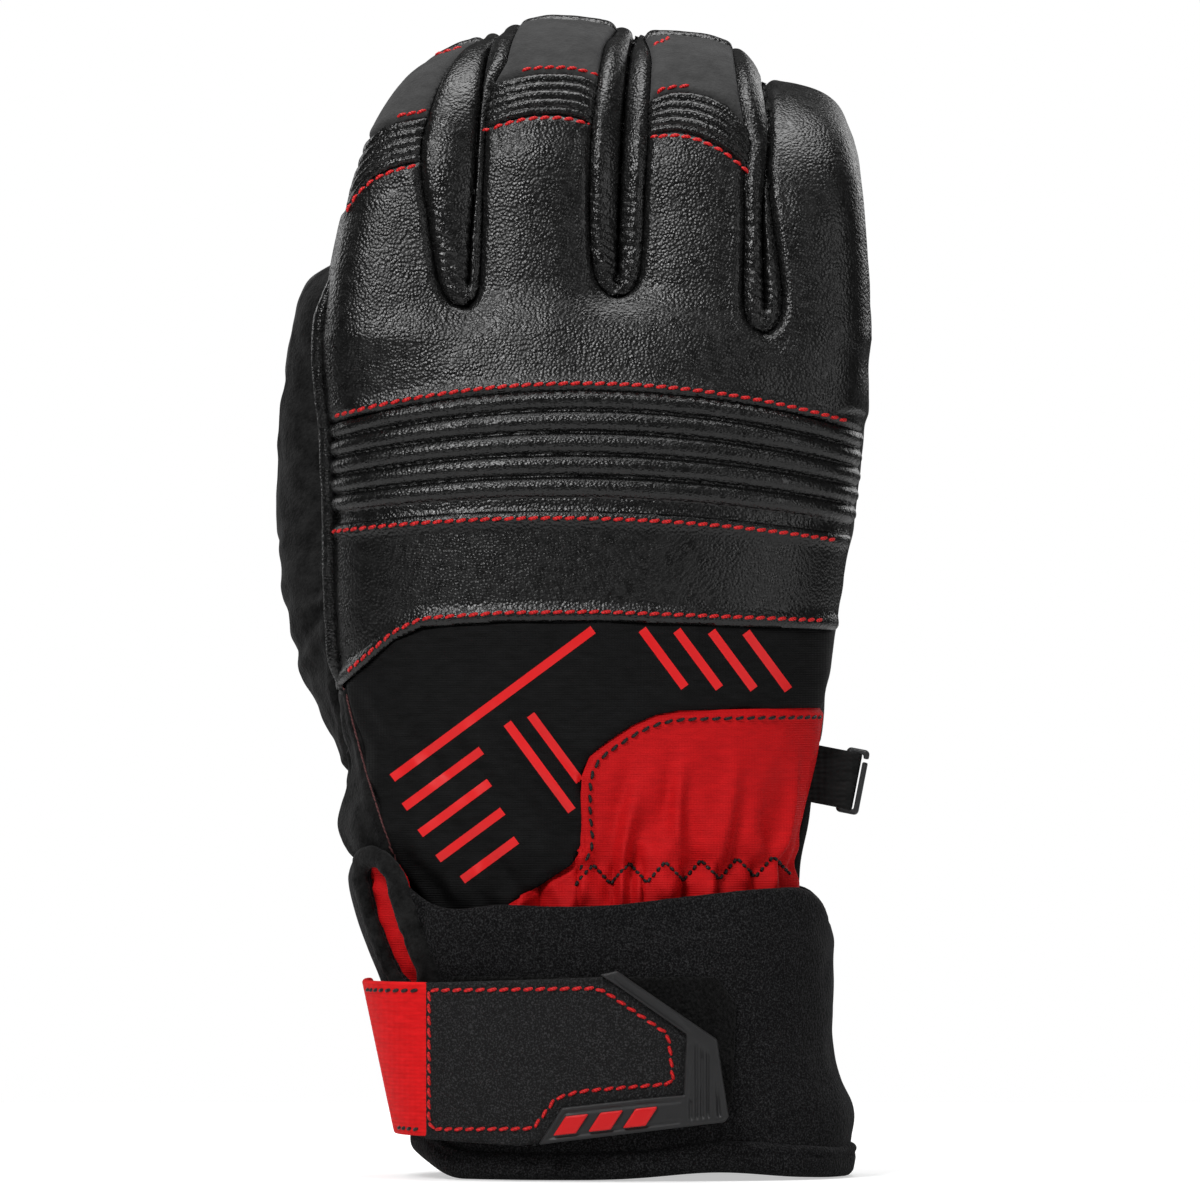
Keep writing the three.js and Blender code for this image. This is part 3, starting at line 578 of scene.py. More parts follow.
def cut_seams(points, faces):
    """Adds the glove's seams to its surface, one line at a time."""

    def cut(values, where):
        nonlocal points, faces
        place = Place(points)
        area = where(place) if where else np.ones(len(points), bool)
        points, faces = split(points, faces, values(place), area)

    def front(place):
        return (place.y < 4) & (place.z < 175)

    for i in range(3):
        cut(lambda q: q.free[i] - q.free[i + 1], lambda q: q.z > 172)
    for name, side in STRIP_SEAMS:
        cut(lambda q: q.strip(name, side), lambda q: q.on(name) & (q.z > ROOT_Z) & (q.angle * side > 0))
        cut(lambda q: q.angle - side * PALM_ANGLE, lambda q: q.on(name) & (q.z > 178) & (q.angle * side > 60))
    cut(lambda q: q.palmward, lambda q: (q.z < 186) | q.free_side())
    cut(lambda q: q.thumb, lambda q: q.x < 20)
    cut(lambda q: q.z - ribbed_top(q.x), front)
    cut(lambda q: q.z - ribbed_bottom(q.x), front)
    cut(lambda q: q.z - band_hem(q.x), front)
    cut(lambda q: q.x - fabric_left(q.z), lambda q: front(q) & (q.z < 116) & (q.x < -30))
    cut(lambda q: polygon_distance(GATHER, q.x, q.z), lambda q: front(q) & (q.z < 108))
    cut(lambda q: q.z - WRIST_SEAM_Z, lambda q: q.y > -6)
    cut(lambda q: polygon_distance(PALM_PATCH, q.x, q.z), lambda q: q.y > 8)
    for name, edges in RIB_EDGES.items():
        for edge in edges:
            cut(
                lambda q: q.z - on_line(edge, q.x),
                lambda q: q.on(name) & (q.z > RIBS_FROM) & (q.palmward < 3) & (q.s < fingers[name].length),
            )
        cut(lambda q: q.s - fingers[name].length + 1, lambda q: q.on(name) & (q.z > RIBS_FROM))
    for name in NAMES:
        cut(lambda q: q.s - fingers[name].joint + BLEND_BEFORE, lambda q: q.on(name) & (q.z > JOINTS_FROM))
    cut(lambda q: q.y - THUMB_SPLIT_Y, lambda q: q.thumb > -0.5)
    return points, faces


points, faces = cut_seams(points, faces)
base_normals = vertex_normals(points, faces)
where = Place(points[faces].mean(1))


def panel_labels(q):
    """The panel that each face belongs to."""
    label = np.full(len(q.x), "hand_back", dtype="U20")
    between_fingers = (q.z > ROOT_Z) & (np.abs(q.angle) < PALM_ANGLE) & ~q.free_side()
    label[q.z < ribbed_top(q.x)] = "knuckle_ribs"
    label[q.z < ribbed_bottom(q.x)] = "lower_band"
    label[q.z < band_hem(q.x)] = "fabric"
    label[(q.z < band_hem(q.x)) & (q.x < fabric_left(q.z))] = "wrist_side"
    label[(q.z < 108) & (polygon_distance(GATHER, q.x, q.z) < 0)] = "gather"
    for name, (bottom, top) in RIB_EDGES.items():
        on = q.on(name) & (q.z > RIBS_FROM)
        label[on & (q.z > on_line(bottom, q.x))] = name + "_ribs"
        label[on & (q.z > on_line(top, q.x))] = name + "_tip"
        label[on & (q.s > fingers[name].length - 1)] = name + "_cap"
    for name, side in STRIP_SEAMS:
        inside = q.on(name) & (q.z > ROOT_Z) & (q.strip(name, side) > 0) & (q.angle * side < PALM_ANGLE)
        label[inside] = f"{name}_wall_{'left' if side < 0 else 'right'}"
    label[(q.palmward > 0) & ~between_fingers] = "palm"
    label[(np.abs(q.angle) > PALM_ANGLE) & (q.z > ROOT_Z)] = "palm"
    label[(label == "palm") & (q.z < WRIST_SEAM_Z)] = "wrist_under"
    label[(label == "palm") & (polygon_distance(PALM_PATCH, q.x, q.z) < 0)] = "palm_patch"
    label[q.thumb > 0] = "thumb_back"
    label[(q.thumb > 0) & (q.y > THUMB_SPLIT_Y)] = "thumb_pad"
    return label


labels = panel_labels(where)


# ---- Materials -----------------------------------------------------------------------------------------

WAVE_SCALE = 0.314  # a wave texture's scale for one wave a metre


class Look:
    """A material with a chain of bumps, patterned in object space (metres)."""

    def __init__(self, name, colour, roughness, specular=0.5, sheen=0.0, sheen_tint=(1, 1, 1)):
        self.material = bpy.data.materials.new(name)
        self.material.use_nodes = True
        self.nodes, self.links = self.material.node_tree.nodes, self.material.node_tree.links
        self.shader = self.nodes["Principled BSDF"]
        self.shader.inputs["Base Color"].default_value = (*colour, 1)
        self.shader.inputs["Roughness"].default_value = roughness
        self.shader.inputs["Specular IOR Level"].default_value = specular
        self.shader.inputs["Sheen Weight"].default_value = sheen
        self.shader.inputs["Sheen Tint"].default_value = (*sheen_tint, 1)
        self.shader.inputs["Sheen Roughness"].default_value = 0.4
        self.place = self.node("ShaderNodeTexCoord").outputs["Object"]
        self.last_bump = None

    def node(self, kind, inputs=(), **settings):
        made = self.nodes.new(kind)
        for key, value in settings.items():
            setattr(made, key, value)
        for key, value in dict(inputs).items():
            if isinstance(value, bpy.types.NodeSocket):
                self.links.new(value, made.inputs[key])
            else:
                made.inputs[key].default_value = value
        return made

    def stretched(self, x, y, z):
        """Object coordinates with each axis scaled."""
        return self.node("ShaderNodeMapping", {"Vector": self.place, "Scale": (x, y, z)}).outputs["Vector"]

    def noise(self, per_metre, detail=3.0, rough=0.55, vector=None):
        inputs = {"Vector": vector or self.place, "Scale": per_metre, "Detail": detail, "Roughness": rough}
        return self.node("ShaderNodeTexNoise", inputs).outputs["Fac"]

    def cells(self, per_metre, vector=None):
        inputs = {"Vector": vector or self.place, "Scale": per_metre}
        return self.node("ShaderNodeTexVoronoi", inputs).outputs["Distance"]

    def waves(self, per_metre, axis, warp=0.0):
        inputs = {"Vector": self.place, "Scale": per_metre * WAVE_SCALE, "Distortion": warp, "Detail": 1.0}
        return self.node("ShaderNodeTexWave", inputs, bands_direction=axis).outputs["Fac"]

    def scaled(self, value, low, high, out_low, out_high):
        inputs = {"Value": value, "From Min": low, "From Max": high, "To Min": out_low, "To Max": out_high}
        return self.node("ShaderNodeMapRange", inputs).outputs["Result"]

    def bump(self, height, depth, strength=1.0):
        """depth is the pattern's depth in metres."""
        inputs = {"Height": height, "Distance": depth, "Strength": strength}
        if self.last_bump:
            inputs["Normal"] = self.last_bump
        self.last_bump = self.node("ShaderNodeBump", inputs).outputs["Normal"]
        self.links.new(self.last_bump, self.shader.inputs["Normal"])
        return self

    def colours(self, value, dark, light):
        mix = self.node("ShaderNodeMix", {"Factor": value}, data_type="RGBA")
        mix.inputs[6].default_value, mix.inputs[7].default_value = (*dark, 1), (*light, 1)
        self.links.new(mix.outputs[2], self.shader.inputs["Base Color"])
        return self

    def roughness(self, value):
        self.links.new(value, self.shader.inputs["Roughness"])
        return self


def leather_look(name, pebble, depth, tone, rough):
    """Goatskin: rounded pebbles between fine creases, glossier on the pebbles."""
    look = Look(name, (tone, tone, tone * 1.03), rough, 0.46)
    pebbles = look.scaled(look.cells(1 / pebble), 0.1, 0.8, 1, 0)
    look.bump(pebbles, depth, 0.8).bump(look.noise(3.2 / pebble, 2), depth * 0.4, 0.6)
    look.roughness(look.scaled(look.noise(420, 2), 0.3, 0.7, rough - 0.06, rough + 0.1))
    return look.colours(look.scaled(look.noise(45, 3), 0.3, 0.7, 0, 1), (tone * 0.8,) * 3, (tone * 1.25,) * 3)


def suede_look(name, tone, nap, sheen, mottle=0.22):
    """Nubuck or suede: a matte nap with soft cloudy patches."""
    look = Look(name, (tone, tone, tone * 1.02), 0.9, 0.12, sheen, (0.8, 0.8, 0.82))
    look.bump(look.cells(1300), nap, 0.8).bump(look.noise(2600, 3, 0.7), nap, 1.0)
    clouds = look.scaled(look.noise(200, 8, 0.8), 0.38, 0.64, 0, 1)
    return look.colours(clouds, (tone * (1 - mottle),) * 3, (tone * (1 + mottle),) * 3)


def woven_look(name, dark, light, thread, depth, rough, sheen=0.0):
    """A plain weave with the rows across, and a little unevenness from thread to thread."""
    look = Look(name, light, rough, 0.14, sheen, light)
    rows, columns = look.waves(1 / thread, "Z", 0.4), look.waves(0.8 / thread, "X", 0.4)
    look.bump(look.noise(120, 3), 0.0006, 0.4).bump(rows, depth, 1.0).bump(columns, depth * 0.6, 0.8)
    patches = look.noise(900, 3, 0.6, look.stretched(0.25, 0.25, 1))
    return look.colours(look.scaled(patches, 0.3, 0.7, 0, 1), dark, light)


def knit_look(name, dark, light, lint):
    """A knit or brushed face: tiny loops, with pale lint."""
    look = Look(name, dark, 0.95, 0.08, 0.05, (0.7, 0.7, 0.72))
    loops = look.cells(1500, look.stretched(1, 1, 0.7))
    look.bump(loops, 0.00022, 1.0).bump(look.noise(3000, 2), 0.0001, 0.7)
    speckle = look.scaled(look.noise(2600, 3, 0.8), lint, lint + 0.28, 0, 1)
    return look.colours(speckle, dark, light)


def plush_look():
    """Loop pile: a deep tangle of loops."""
    look = Look("loop_pile", (0.004, 0.004, 0.004), 0.95, 0.1, 0.1, (0.4, 0.4, 0.4))
    look.bump(look.cells(1300), 0.0006, 1.0).bump(look.noise(2600, 4, 0.7), 0.0005, 1.0)
    return look.colours(
        look.scaled(look.noise(1500, 3), 0.35, 0.7, 0, 1), (0.002, 0.002, 0.002), (0.012, 0.012, 0.012),
)


def moulded_look(name, colour, rough, grain=0.00003):
    look = Look(name, colour, rough, 0.3)
    look.bump(look.noise(160, 2), 0.0002, 0.3).bump(look.noise(4200, 2), grain, 1.0)
    return look.roughness(look.scaled(look.noise(220, 3), 0.3, 0.7, rough - 0.08, rough + 0.08))


def thread_look(name, dark, light):
    """Twisted sewing thread, with painted shade: darker in the grooves of its twist."""
    look = Look(name, light, 0.5, 0.4)
    look.bump(look.waves(2400, "DIAGONAL"), 0.00012, 1.0)
    # painted shade: the twist's grooves, where the bump is low, get the dark colour
    return look.colours(look.waves(2400, "DIAGONAL"), dark, light)


LOOKS = {
    "leather": leather_look("goat_leather", 0.00066, 0.000125, 0.004, 0.29),
    "smooth_leather": leather_look("roll_leather", 0.00066, 0.00012, 0.004, 0.26),
    "nubuck": suede_look("nubuck", 0.046, 0.00014, 0.1),
    "suede": suede_look("suede", 0.0095, 0.00018, 0.06, 0.85),
    "black_fabric": woven_look(
        "black_nylon", (0.002, 0.002, 0.002), (0.006, 0.006, 0.0063), 0.0005, 0.00006, 0.75,
),
    "red_fabric": woven_look(
        "red_nylon", (0.48, 0.004, 0.006), (0.6, 0.006, 0.008), 0.0005, 0.00006, 0.7, 0.03,
),
    "neoprene": knit_look("neoprene", (0.0035, 0.0035, 0.0037), (0.05, 0.05, 0.052), 0.47),
    "red_webbing": woven_look(
        "red_webbing", (0.68, 0.006, 0.008), (0.84, 0.01, 0.012), 0.0009, 0.00008, 0.8, 0.02,
),
    "black_webbing": woven_look(
        "black_webbing", (0.004, 0.004, 0.004), (0.012, 0.012, 0.012), 0.0011, 0.00018, 0.7,
),
    "microfibre": knit_look("microfibre", (0.012, 0.012, 0.0122), (0.08, 0.08, 0.083), 0.5),
    "hook_and_loop": plush_look(),
    "badge_rubber": moulded_look("badge_rubber", (0.02, 0.02, 0.0207), 0.45),
    "badge_red": moulded_look("badge_red", (0.62, 0.008, 0.01), 0.4),
    "print_red": moulded_look("print_red", (0.78, 0.012, 0.014), 0.45),
    "grey_plastic": moulded_look("grey_plastic", (0.025, 0.026, 0.027), 0.42, 0.00005),
    "fleece": suede_look("fleece", 0.02, 0.0004, 0.2),
    "red_thread": thread_look("red_thread", (0.4, 0.002, 0.003), (0.85, 0.012, 0.014)),
    "dull_thread": thread_look("dull_thread", (0.05, 0.012, 0.012), (0.16, 0.05, 0.05)),
    "black_thread": thread_look("black_thread", (0.002, 0.002, 0.002), (0.01, 0.01, 0.01)),
}

# ---- Pieces --------------------------------------------------------------------------------------------

HINGE_POINTS = {
    name: [finger.spine(np.array([finger.joint + past]))[0] for past in (-BLEND_BEFORE, BLEND_AFTER)]
    for name, finger in fingers.items()
}
HINGE_POINTS["thumb"] = ((-53.2, 31, 143), (-53.1, 34.5, 158))


def piece(name, points, faces, look, slot, body="glove", bends=None, replaces=(), pad=None, normals=None):
    """A mesh from glove millimetres that rides on a body, or, given a digit in bends, stays in place with its
    transform applied.
    """
    mesh = bpy.data.meshes.new(name)
    mesh.vertices.add(len(points))
    mesh.vertices.foreach_set("co", world(points).astype(np.float32).ravel())
    mesh.loops.add(faces.size)
    mesh.polygons.add(len(faces))
    mesh.loops.foreach_set("vertex_index", faces.ravel().astype(np.int32))
    mesh.polygons.foreach_set("loop_start", np.arange(0, faces.size, faces.shape[1], dtype=np.int32))
    mesh.update(calc_edges=True)
    mesh.polygons.foreach_set("use_smooth", np.ones(len(faces), bool))
    if normals is not None:
        mesh.normals_split_custom_set_from_vertices(normals.tolist())
    made = bpy.data.objects.new(name, mesh)
    bpy.context.scene.collection.objects.link(made)
    mesh.materials.append(LOOKS[look].material)
    if bends:
        start, end = HINGE_POINTS[bends]
        tuple(world(start))
        tuple(world(end))
        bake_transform(made)
    else:
        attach(made, body)
    if replaces:
        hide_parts(*replaces)
    return made


def boundary_edges(faces):
    """The directed edges with a face on one side only."""
    edges = np.concatenate([faces[:, [0, 1]], faces[:, [1, 2]], faces[:, [2, 0]]])
    keys = np.sort(edges, axis=1)
    _, first, counts = np.unique(keys, axis=0, return_index=True, return_counts=True)
    return edges[first[counts == 1]]


def compact(points, faces, *extra):
    """Only the points that the faces use."""
    used, inverse = np.unique(faces, return_inverse=True)
    return (points[used], inverse.reshape(faces.shape), *[e[used] for e in extra])


def refined(points, normals, faces):
    """Every triangle in four."""
    edges = np.sort(np.concatenate([faces[:, [0, 1]], faces[:, [1, 2]], faces[:, [2, 0]]]), axis=1)
    unique, inverse = np.unique(edges, axis=0, return_inverse=True)
    ab, bc, ca = (len(points) + inverse.reshape(3, -1)[i] for i in range(3))
    a, b, c = faces.T
    turned = normals[unique].sum(1)
    turned /= np.linalg.norm(turned, axis=1, keepdims=True)
    parts = [(a, ab, ca), (ab, b, bc), (ca, bc, c), (ab, bc, ca)]
    return (
        np.concatenate([points, points[unique].mean(1)]),
        np.concatenate([normals, turned]),
        np.concatenate([np.stack(part, -1) for part in parts]),
    )


def with_skirt(points, faces, normals, depth=1.3, edges=None):
    """The sheet with its open edges turned in, so that it reads as thick leather."""
    edges = boundary_edges(faces) if edges is None else edges
    rim, inverse = np.unique(edges, return_inverse=True)
    inner = len(points) + inverse.reshape(edges.shape)
    low = points[rim] - normals[rim] * depth
    a, b = edges.T
    c, d = inner.T
    walls = [np.stack([b, a, c], -1), np.stack([b, c, d], -1)]
    return np.concatenate([points, low]), np.concatenate([faces, *walls]), np.concatenate(
        [normals, normals[rim]]
)


class Sheet:
    """Part of the glove's surface between seams, raised by a height function of place and seam distance."""

    def __init__(self, names, height, refine=0):
        chosen = np.isin(labels, names)
        p, f, n = compact(points, faces[chosen], base_normals)
        for _ in range(refine):
            p, n, f = refined(p, n, f)
        edges = boundary_edges(f)
        tree = KDTree(2 * len(edges))
        for i, q in enumerate(np.concatenate([p[edges[:, 0]], p[edges].mean(1)])):
            tree.insert(q, i)
        tree.balance()
        edge = np.array([tree.find(q)[2] for q in p])
        self.points = p + n * height(Place(p), edge, p)[:, None]
        self.faces = f
        self.centre = Place(p[f].mean(1))
        self.normals = vertex_normals(self.points, f)

    def emit(self, name, look, slot, keep=None, **options):
        if keep is None:
            p, f, _ = with_skirt(self.points, self.faces, self.normals)
            return piece(name, p, f, look, slot, **options)
        f = self.faces[keep]
        edges = boundary_edges(f)
        seams = np.isin(edges @ (len(self.points), 1), boundary_edges(self.faces) @ (len(self.points), 1))
        p, f, n = with_skirt(self.points, f, self.normals, edges=edges[seams])
        p, f, n = compact(p, f, n)
        return piece(name, p, f, look, slot, normals=n, **options)


def seam_groove(edge, depth=0.95, width=0.75, roll=0.3):
    """A sewn edge: it dives into the seam and puffs up beside it."""
    return -depth * np.exp(-((edge / width) ** 1.4)) + roll * bump(edge - 2.0, 1.3)


def soft(p, seed):
    return 0.16 * wobble(p, 30, seed) + 0.05 * wobble(p, 9, seed + 1)


def back_height(q, edge, p):
    h = seam_groove(edge) + soft(p, 3)
    return h + 0.45 * smoothstep(3.2, 0.4, q.z - ribbed_top(q.x)) * (q.z < 175)


def rib_profile(t, count):
    return np.abs(np.sin(math.pi * t * count)) ** 0.5


def knuckle_height(q, edge, p):
    t = (q.z - ribbed_bottom(q.x)) / (ribbed_top(q.x) - ribbed_bottom(q.x))
    inner = np.clip((t - 0.11) / 0.92, 0, 1)
    ribs = np.where(t > 0.11, 1.9 * rib_profile(inner, 5) - 1.1, -0.5)
    return ribs * smoothstep(0, 2.5, edge + 1.0) + 0.4 * soft(p, 5)


def band_height(q, edge, p):
    h = seam_groove(edge, 0.6, 0.6) + 0.7 * soft(p, 7)
    h += 0.5 * smoothstep(3.0, 0.4, ribbed_bottom(q.x) - q.z)
    return h + 0.75 * smoothstep(4.5, 0.5, q.z - band_hem(q.x))


def finger_rib_height(name):
    bottom, top = RIB_EDGES[name]

    def height(q, edge, p):
        low, high = on_line(bottom, q.x), on_line(top, q.x)
        t = (q.z - low) / (high - low)
        fade = smoothstep(95, 50, np.abs(q.angle))
        inner = np.clip((t - 0.16) / 0.84, 0, 1)
        ribs = np.where(t > 0.16, 1.0 * rib_profile(inner, RIB_COUNT) - 0.6, -0.1 - 2.5 * np.abs(t - 0.08))
        return (0.25 + 0.75 * fade) * ribs - 0.5 * bump(edge, 0.6)

    return height


def strip_height(name, side):
    """Relief of a rolled wall, which closes in a lip above the foot of its cleft."""
    foot = STRIP_SEAMS[name, side][-1][1]
    half, height_of_roll = (5.6, 1.6) if (name, side) == ("index", 1) else (3.4, 1.15)

    def height(q, edge, p):
        front = side * (q.angle - strip_angles[name, side](q.s)) * 0.23
        roll = height_of_roll * np.sqrt(
            np.clip(1 - ((front + 0.3) / half - 1) ** 2, 0, 1)
) * smoothstep(-2, 6, q.s)
        roll *= 1 - 0.7 * smoothstep(fingers[name].length - 14, fingers[name].length, q.s)
        creases = wobble(p * (1, 1, 1.6) + 0.25 * p[:, [2, 0, 1]], 3.0, 31) * bump(q.s - 12, 16) * 0.2
        nearest = np.sort(q.free, axis=0)
        lip = bump(nearest[1] - nearest[0], 1.6) * smoothstep(foot + 5.5, foot + 3, q.z)
        return roll + creases - 1.25 * np.exp(-((edge / 0.8) ** 1.4)) * (1 - lip)

    return height


def cap_height(q, edge, p):
    return seam_groove(edge, 0.7, 0.6, 0.2) + 0.12 * wobble(p, 7, 41)


def tip_height(q, edge, p):
    return seam_groove(edge, 0.75, 0.6, 0.2) + 0.15 * wobble(p, 14, 43)


def palm_height(q, edge, p):
    return seam_groove(edge) + soft(p, 11) + 0.15 * wobble(p, 7, 12)


def fabric_height(q, edge, p):
    folds = wobble(np.stack([p[:, 0] + 0.9 * p[:, 2], p[:, 1], 0.25 * p[:, 2]], -1), 11, 15)
    fade = smoothstep(112, 80, q.z) * smoothstep(10, -20, q.x)
    ripple = wobble(p, 16, 16)
    pucker = np.sin(q.x * 2 * math.pi / 6.5 + 1.2 * ripple) * smoothstep(78, 60, q.z)
    return 1.15 * folds * fade + 0.25 * ripple + 0.35 * pucker - 0.5 * bump(edge, 0.8)


def gather_height(q, edge, p):
    warp = wobble(np.stack([p[:, 0], p[:, 1], 0.4 * p[:, 2]], -1), 13, 18)
    below = np.abs(np.cos(math.pi * (q.x - ZIGZAG_PEAK) / ZIGZAG_PITCH + 0.35 * warp)) ** 0.7
    above = np.sin(2 * math.pi * (q.x - 0.25 * (q.z - 62)) / 10.5 + 2.2 * warp)
    puckers = 3.2 * (below - 0.6) * smoothstep(69.5, 65, q.z) + 1.6 * above * smoothstep(97, 68, q.z)
    crinkle = 0.5 * wobble(p * (1, 1, 0.4), 3.6, 19) * smoothstep(80, 66, q.z)
    cinch = -1.3 * bump(q.z - 66.5, 3.0)
    return puckers + crinkle + cinch + 0.3 * warp - 0.7 * bump(edge, 0.9) + 0.35 * bump(edge - 1.3, 0.8)


def side_height(q, edge, p):
    return seam_groove(edge) + 0.5 * wobble(p, 12, 21)


def thumb_height(q, edge, p):
    creases = np.sin(0.55 * q.z + 0.35 * q.y + 1.5 * wobble(p, 14, 25)) * bump(q.z - 116, 16)
    return seam_groove(edge) + 0.35 * wobble(p, 18, 23) + 0.12 * wobble(p, 6, 24) + 0.45 * creases


def patch_height(q, edge, p):
    return 0.9 * (1 - np.exp(-((edge / 0.7) ** 2))) - 0.2 + 0.5 * soft(p, 11)



def emit_split(sheet, name, look, slot, parts, **options):
    """Emits the sheet as the fixed piece and as the parts past a finger joint, with no seam between them."""
    rest = ~np.any([keep for keep, _, _ in parts], axis=0)
    sheet.emit(name, look, slot, keep=rest, **options)
    for keep, finger, node in parts:
        sheet.emit(
            f"{finger}_{name}", look, slot, keep=keep, bends=finger, replaces=node, pad=options.get("pad"),
)


back = Sheet(["hand_back"], back_height)
bending = [(back.centre.past_joint("little"), "little", ["little_back"])]
emit_split(back, "back_leather", "leather", "leather", bending, replaces=["hand_back_leather"], pad=0.8)

palm = Sheet(["palm"], palm_height)
bending = [(palm.centre.past_joint(name), name, [name + "_under", name + "_liner"]) for name in NAMES]
emit_split(palm, "palm_nubuck", "nubuck", "nubuck", bending, replaces=["palm_leather"], pad=0.8)
sheets = {"back": back, "palm": palm}

PLAIN = [
    ("knuckle_ribs", knuckle_height, 1, "smooth_leather", "leather", ["knuckle_rib_panel"]),
    ("lower_band", band_height, 0, "leather", "leather", ["lower_back_leather"]),
    ("fabric", fabric_height, 0, "black_fabric", "black_fabric", ["back_fabric_panel"]),
    ("gather", gather_height, 1, "red_fabric", "red_fabric", ["wrist_gather_panel"]),
    ("wrist_side", side_height, 0, "suede", "suede", ["wrist_side_panel"]),
    ("wrist_under", side_height, 0, "black_fabric", "black_fabric", ["wrist_underside"]),
    ("palm_patch", patch_height, 0, "nubuck", "nubuck", ["palm_patch"]),
]
for name, height, refine, look, slot, nodes in PLAIN:
    sheets[name] = Sheet([name], height, refine)
    sheets[name].emit("panel_" + name, look, slot, replaces=nodes, pad=0.7)
THUMB_PANELS = [
    ("thumb_back", "suede", ["thumb_base", "thumb_tip_back"]),
    ("thumb_pad", "nubuck", ["thumb_tip_pad", "thumb_liner"]),
]
for name, look, nodes in THUMB_PANELS:
    sheets[name] = Sheet([name], thumb_height)
    sheets[name].emit("panel_" + name, look, look, bends="thumb", replaces=nodes, pad=0.8)
for name in RIB_EDGES:
    for part, height, refine, look, slot, nodes in (
        ("ribs", finger_rib_height(name), 1, "smooth_leather", "leather", [name + "_ribs"]),
        ("tip", tip_height, 0, "nubuck", "nubuck", [name + "_tip"]),
        ("cap", cap_height, 0, "smooth_leather", "leather", []),
    ):
        sheets[f"{name}_{part}"] = Sheet([f"{name}_{part}"], height, refine)
        sheets[f"{name}_{part}"].emit(f"panel_{name}_{part}", look, slot, bends=name, replaces=nodes, pad=0.8)
WALL_NODES = {
    ("index", 1): ["finger_wall_index_middle"], ("middle", 1): ["finger_wall_middle_ring"],
    ("ring", 1): ["finger_wall_ring_little"],
}
for name, side in STRIP_SEAMS:
    label = f"{name}_wall_{'left' if side < 0 else 'right'}"
    sheets[label] = Sheet([label], strip_height(name, side), 1)
    sheets[label].emit(
        "panel_" + label, "smooth_leather", "leather", bends=name,
        replaces=WALL_NODES.get((name, side), []), pad=0.6,
)

# ---- Cuff ----------------------------------------------------------------------------------------------

# The cuff reads as the hand does: height, left edge, right edge, half depth. The strap lies on a wider form.
CUFF = [
    (0, -39.6, 53.2, 34), (8, -39.2, 54.0, 34), (
        15, -40.2, 54.0, 34,
), (21, -41.4, 51.6, 34), (28, -43, 50.1, 34),
    (38, -45.4, 50.0, 34), (50, -50.4, 50.3, 34), (60, -53.5, 50.0, 33.4), (70, -54.6, 48.8, 32.6),
]
CUFF_ROUNDNESS = 2.4
CUFF_WALL = 2.6
HEM_TOP = [(-60, 14), (-40, 11.5), (-31, 7.4), (-8.6, 6.4), (10, 6.8), (27, 8.8), (45, 7.4), (70, 7.8)]
HEM_LIFT = 5.5  # of the hem's lower edge at the thumb side
HEM_ARCH = 1.6  # and under the badge
CUFF_TOP = [
    (-70, 60), (-55, 64), (-52.5, 69), (-49.5, 71.4), (-46.5, 70.4), (-42.5, 64.5), (-38, 60.4), (-20, 59),
    (0, 58.8), (21, 61), (38, 62.4), (43, 62.3), (46, 60.8),
    (48.5, 57.5), (50, 53), (70, 50),
]
STRAP = [(5, -43.4, 57.6, 39), (46, -52.1, 55.6, 39)]
STRAP_ROUNDNESS = 2.8
KEYHOLE_AT = np.array([-46.6, -20.0, 54.2])
KEYHOLE_TURN = math.radians(58)
KEYHOLE_HALF, KEYHOLE_STRAIGHT = 4.0, 8.8
KEYHOLE_LEAN, KEYHOLE_SHIFT = 0.25, 1.0  # it leans to the back of the hand towards its foot
cuff_rows, cuff_top, strap_rows = smooth_curve(CUFF), smooth_curve(CUFF_TOP), smooth_curve(STRAP)
hem_top = smooth_curve(HEM_TOP)


def sleeve_offset(rows, roundness):
    """How far points lie outside a sleeve's outer face."""

    def offset(p):
        left, right, depth = rows(p[:, 2])
        return superellipse([(p[:, 0] - (left + right) / 2, (right - left) / 2), (p[:, 1], depth)], roundness)

    return offset


cuff_offset = sleeve_offset(cuff_rows, CUFF_ROUNDNESS)
strap_offset = sleeve_offset(strap_rows, STRAP_ROUNDNESS)


def keyhole(p):
    """Distance from the keyhole's edge in its own plane, negative in the hole, and depth behind the plane."""
    rel = p - KEYHOLE_AT
    level = rel[:, 0] * math.cos(KEYHOLE_TURN) - rel[:, 1] * math.sin(KEYHOLE_TURN)
    level += KEYHOLE_LEAN * rel[:, 2] - KEYHOLE_SHIFT
    depth = rel[:, 0] * math.sin(KEYHOLE_TURN) + rel[:, 1] * math.cos(KEYHOLE_TURN)
    return np.hypot(level, np.maximum(np.abs(rel[:, 2]) - KEYHOLE_STRAIGHT, 0)) - KEYHOLE_HALF, depth


def rounded_and(k, *parts):
    """What is inside every part, with its edges rounded by about k."""
    whole = parts[0]
    for part in parts[1:]:
        whole = -smooth_min(-whole, -part, k)
    return whole


def sleeve_distance(p):
    dent = 0.5 * wobble(p, 30, 51) + 0.12 * wobble(p, 8, 52)
    panel_edge = 0.7 * bump(p[:, 0] + 37.6, 0.6) * (p[:, 1] < 0) * smoothstep(40, 44, p[:, 2])
    off = cuff_offset(p) - dent * smoothstep(6, 14, p[:, 2]) + panel_edge
    hole, depth = keyhole(p)
    wall = np.abs(off + CUFF_WALL / 2) - CUFF_WALL / 2
    ends = np.maximum(p[:, 2] - cuff_top(p[:, 0])[0], hem_top(p[:, 0])[0] - 3 - p[:, 2])
    return rounded_and(1.6, wall, ends, np.where(depth < 20, 0.3 - hole, -9.0))


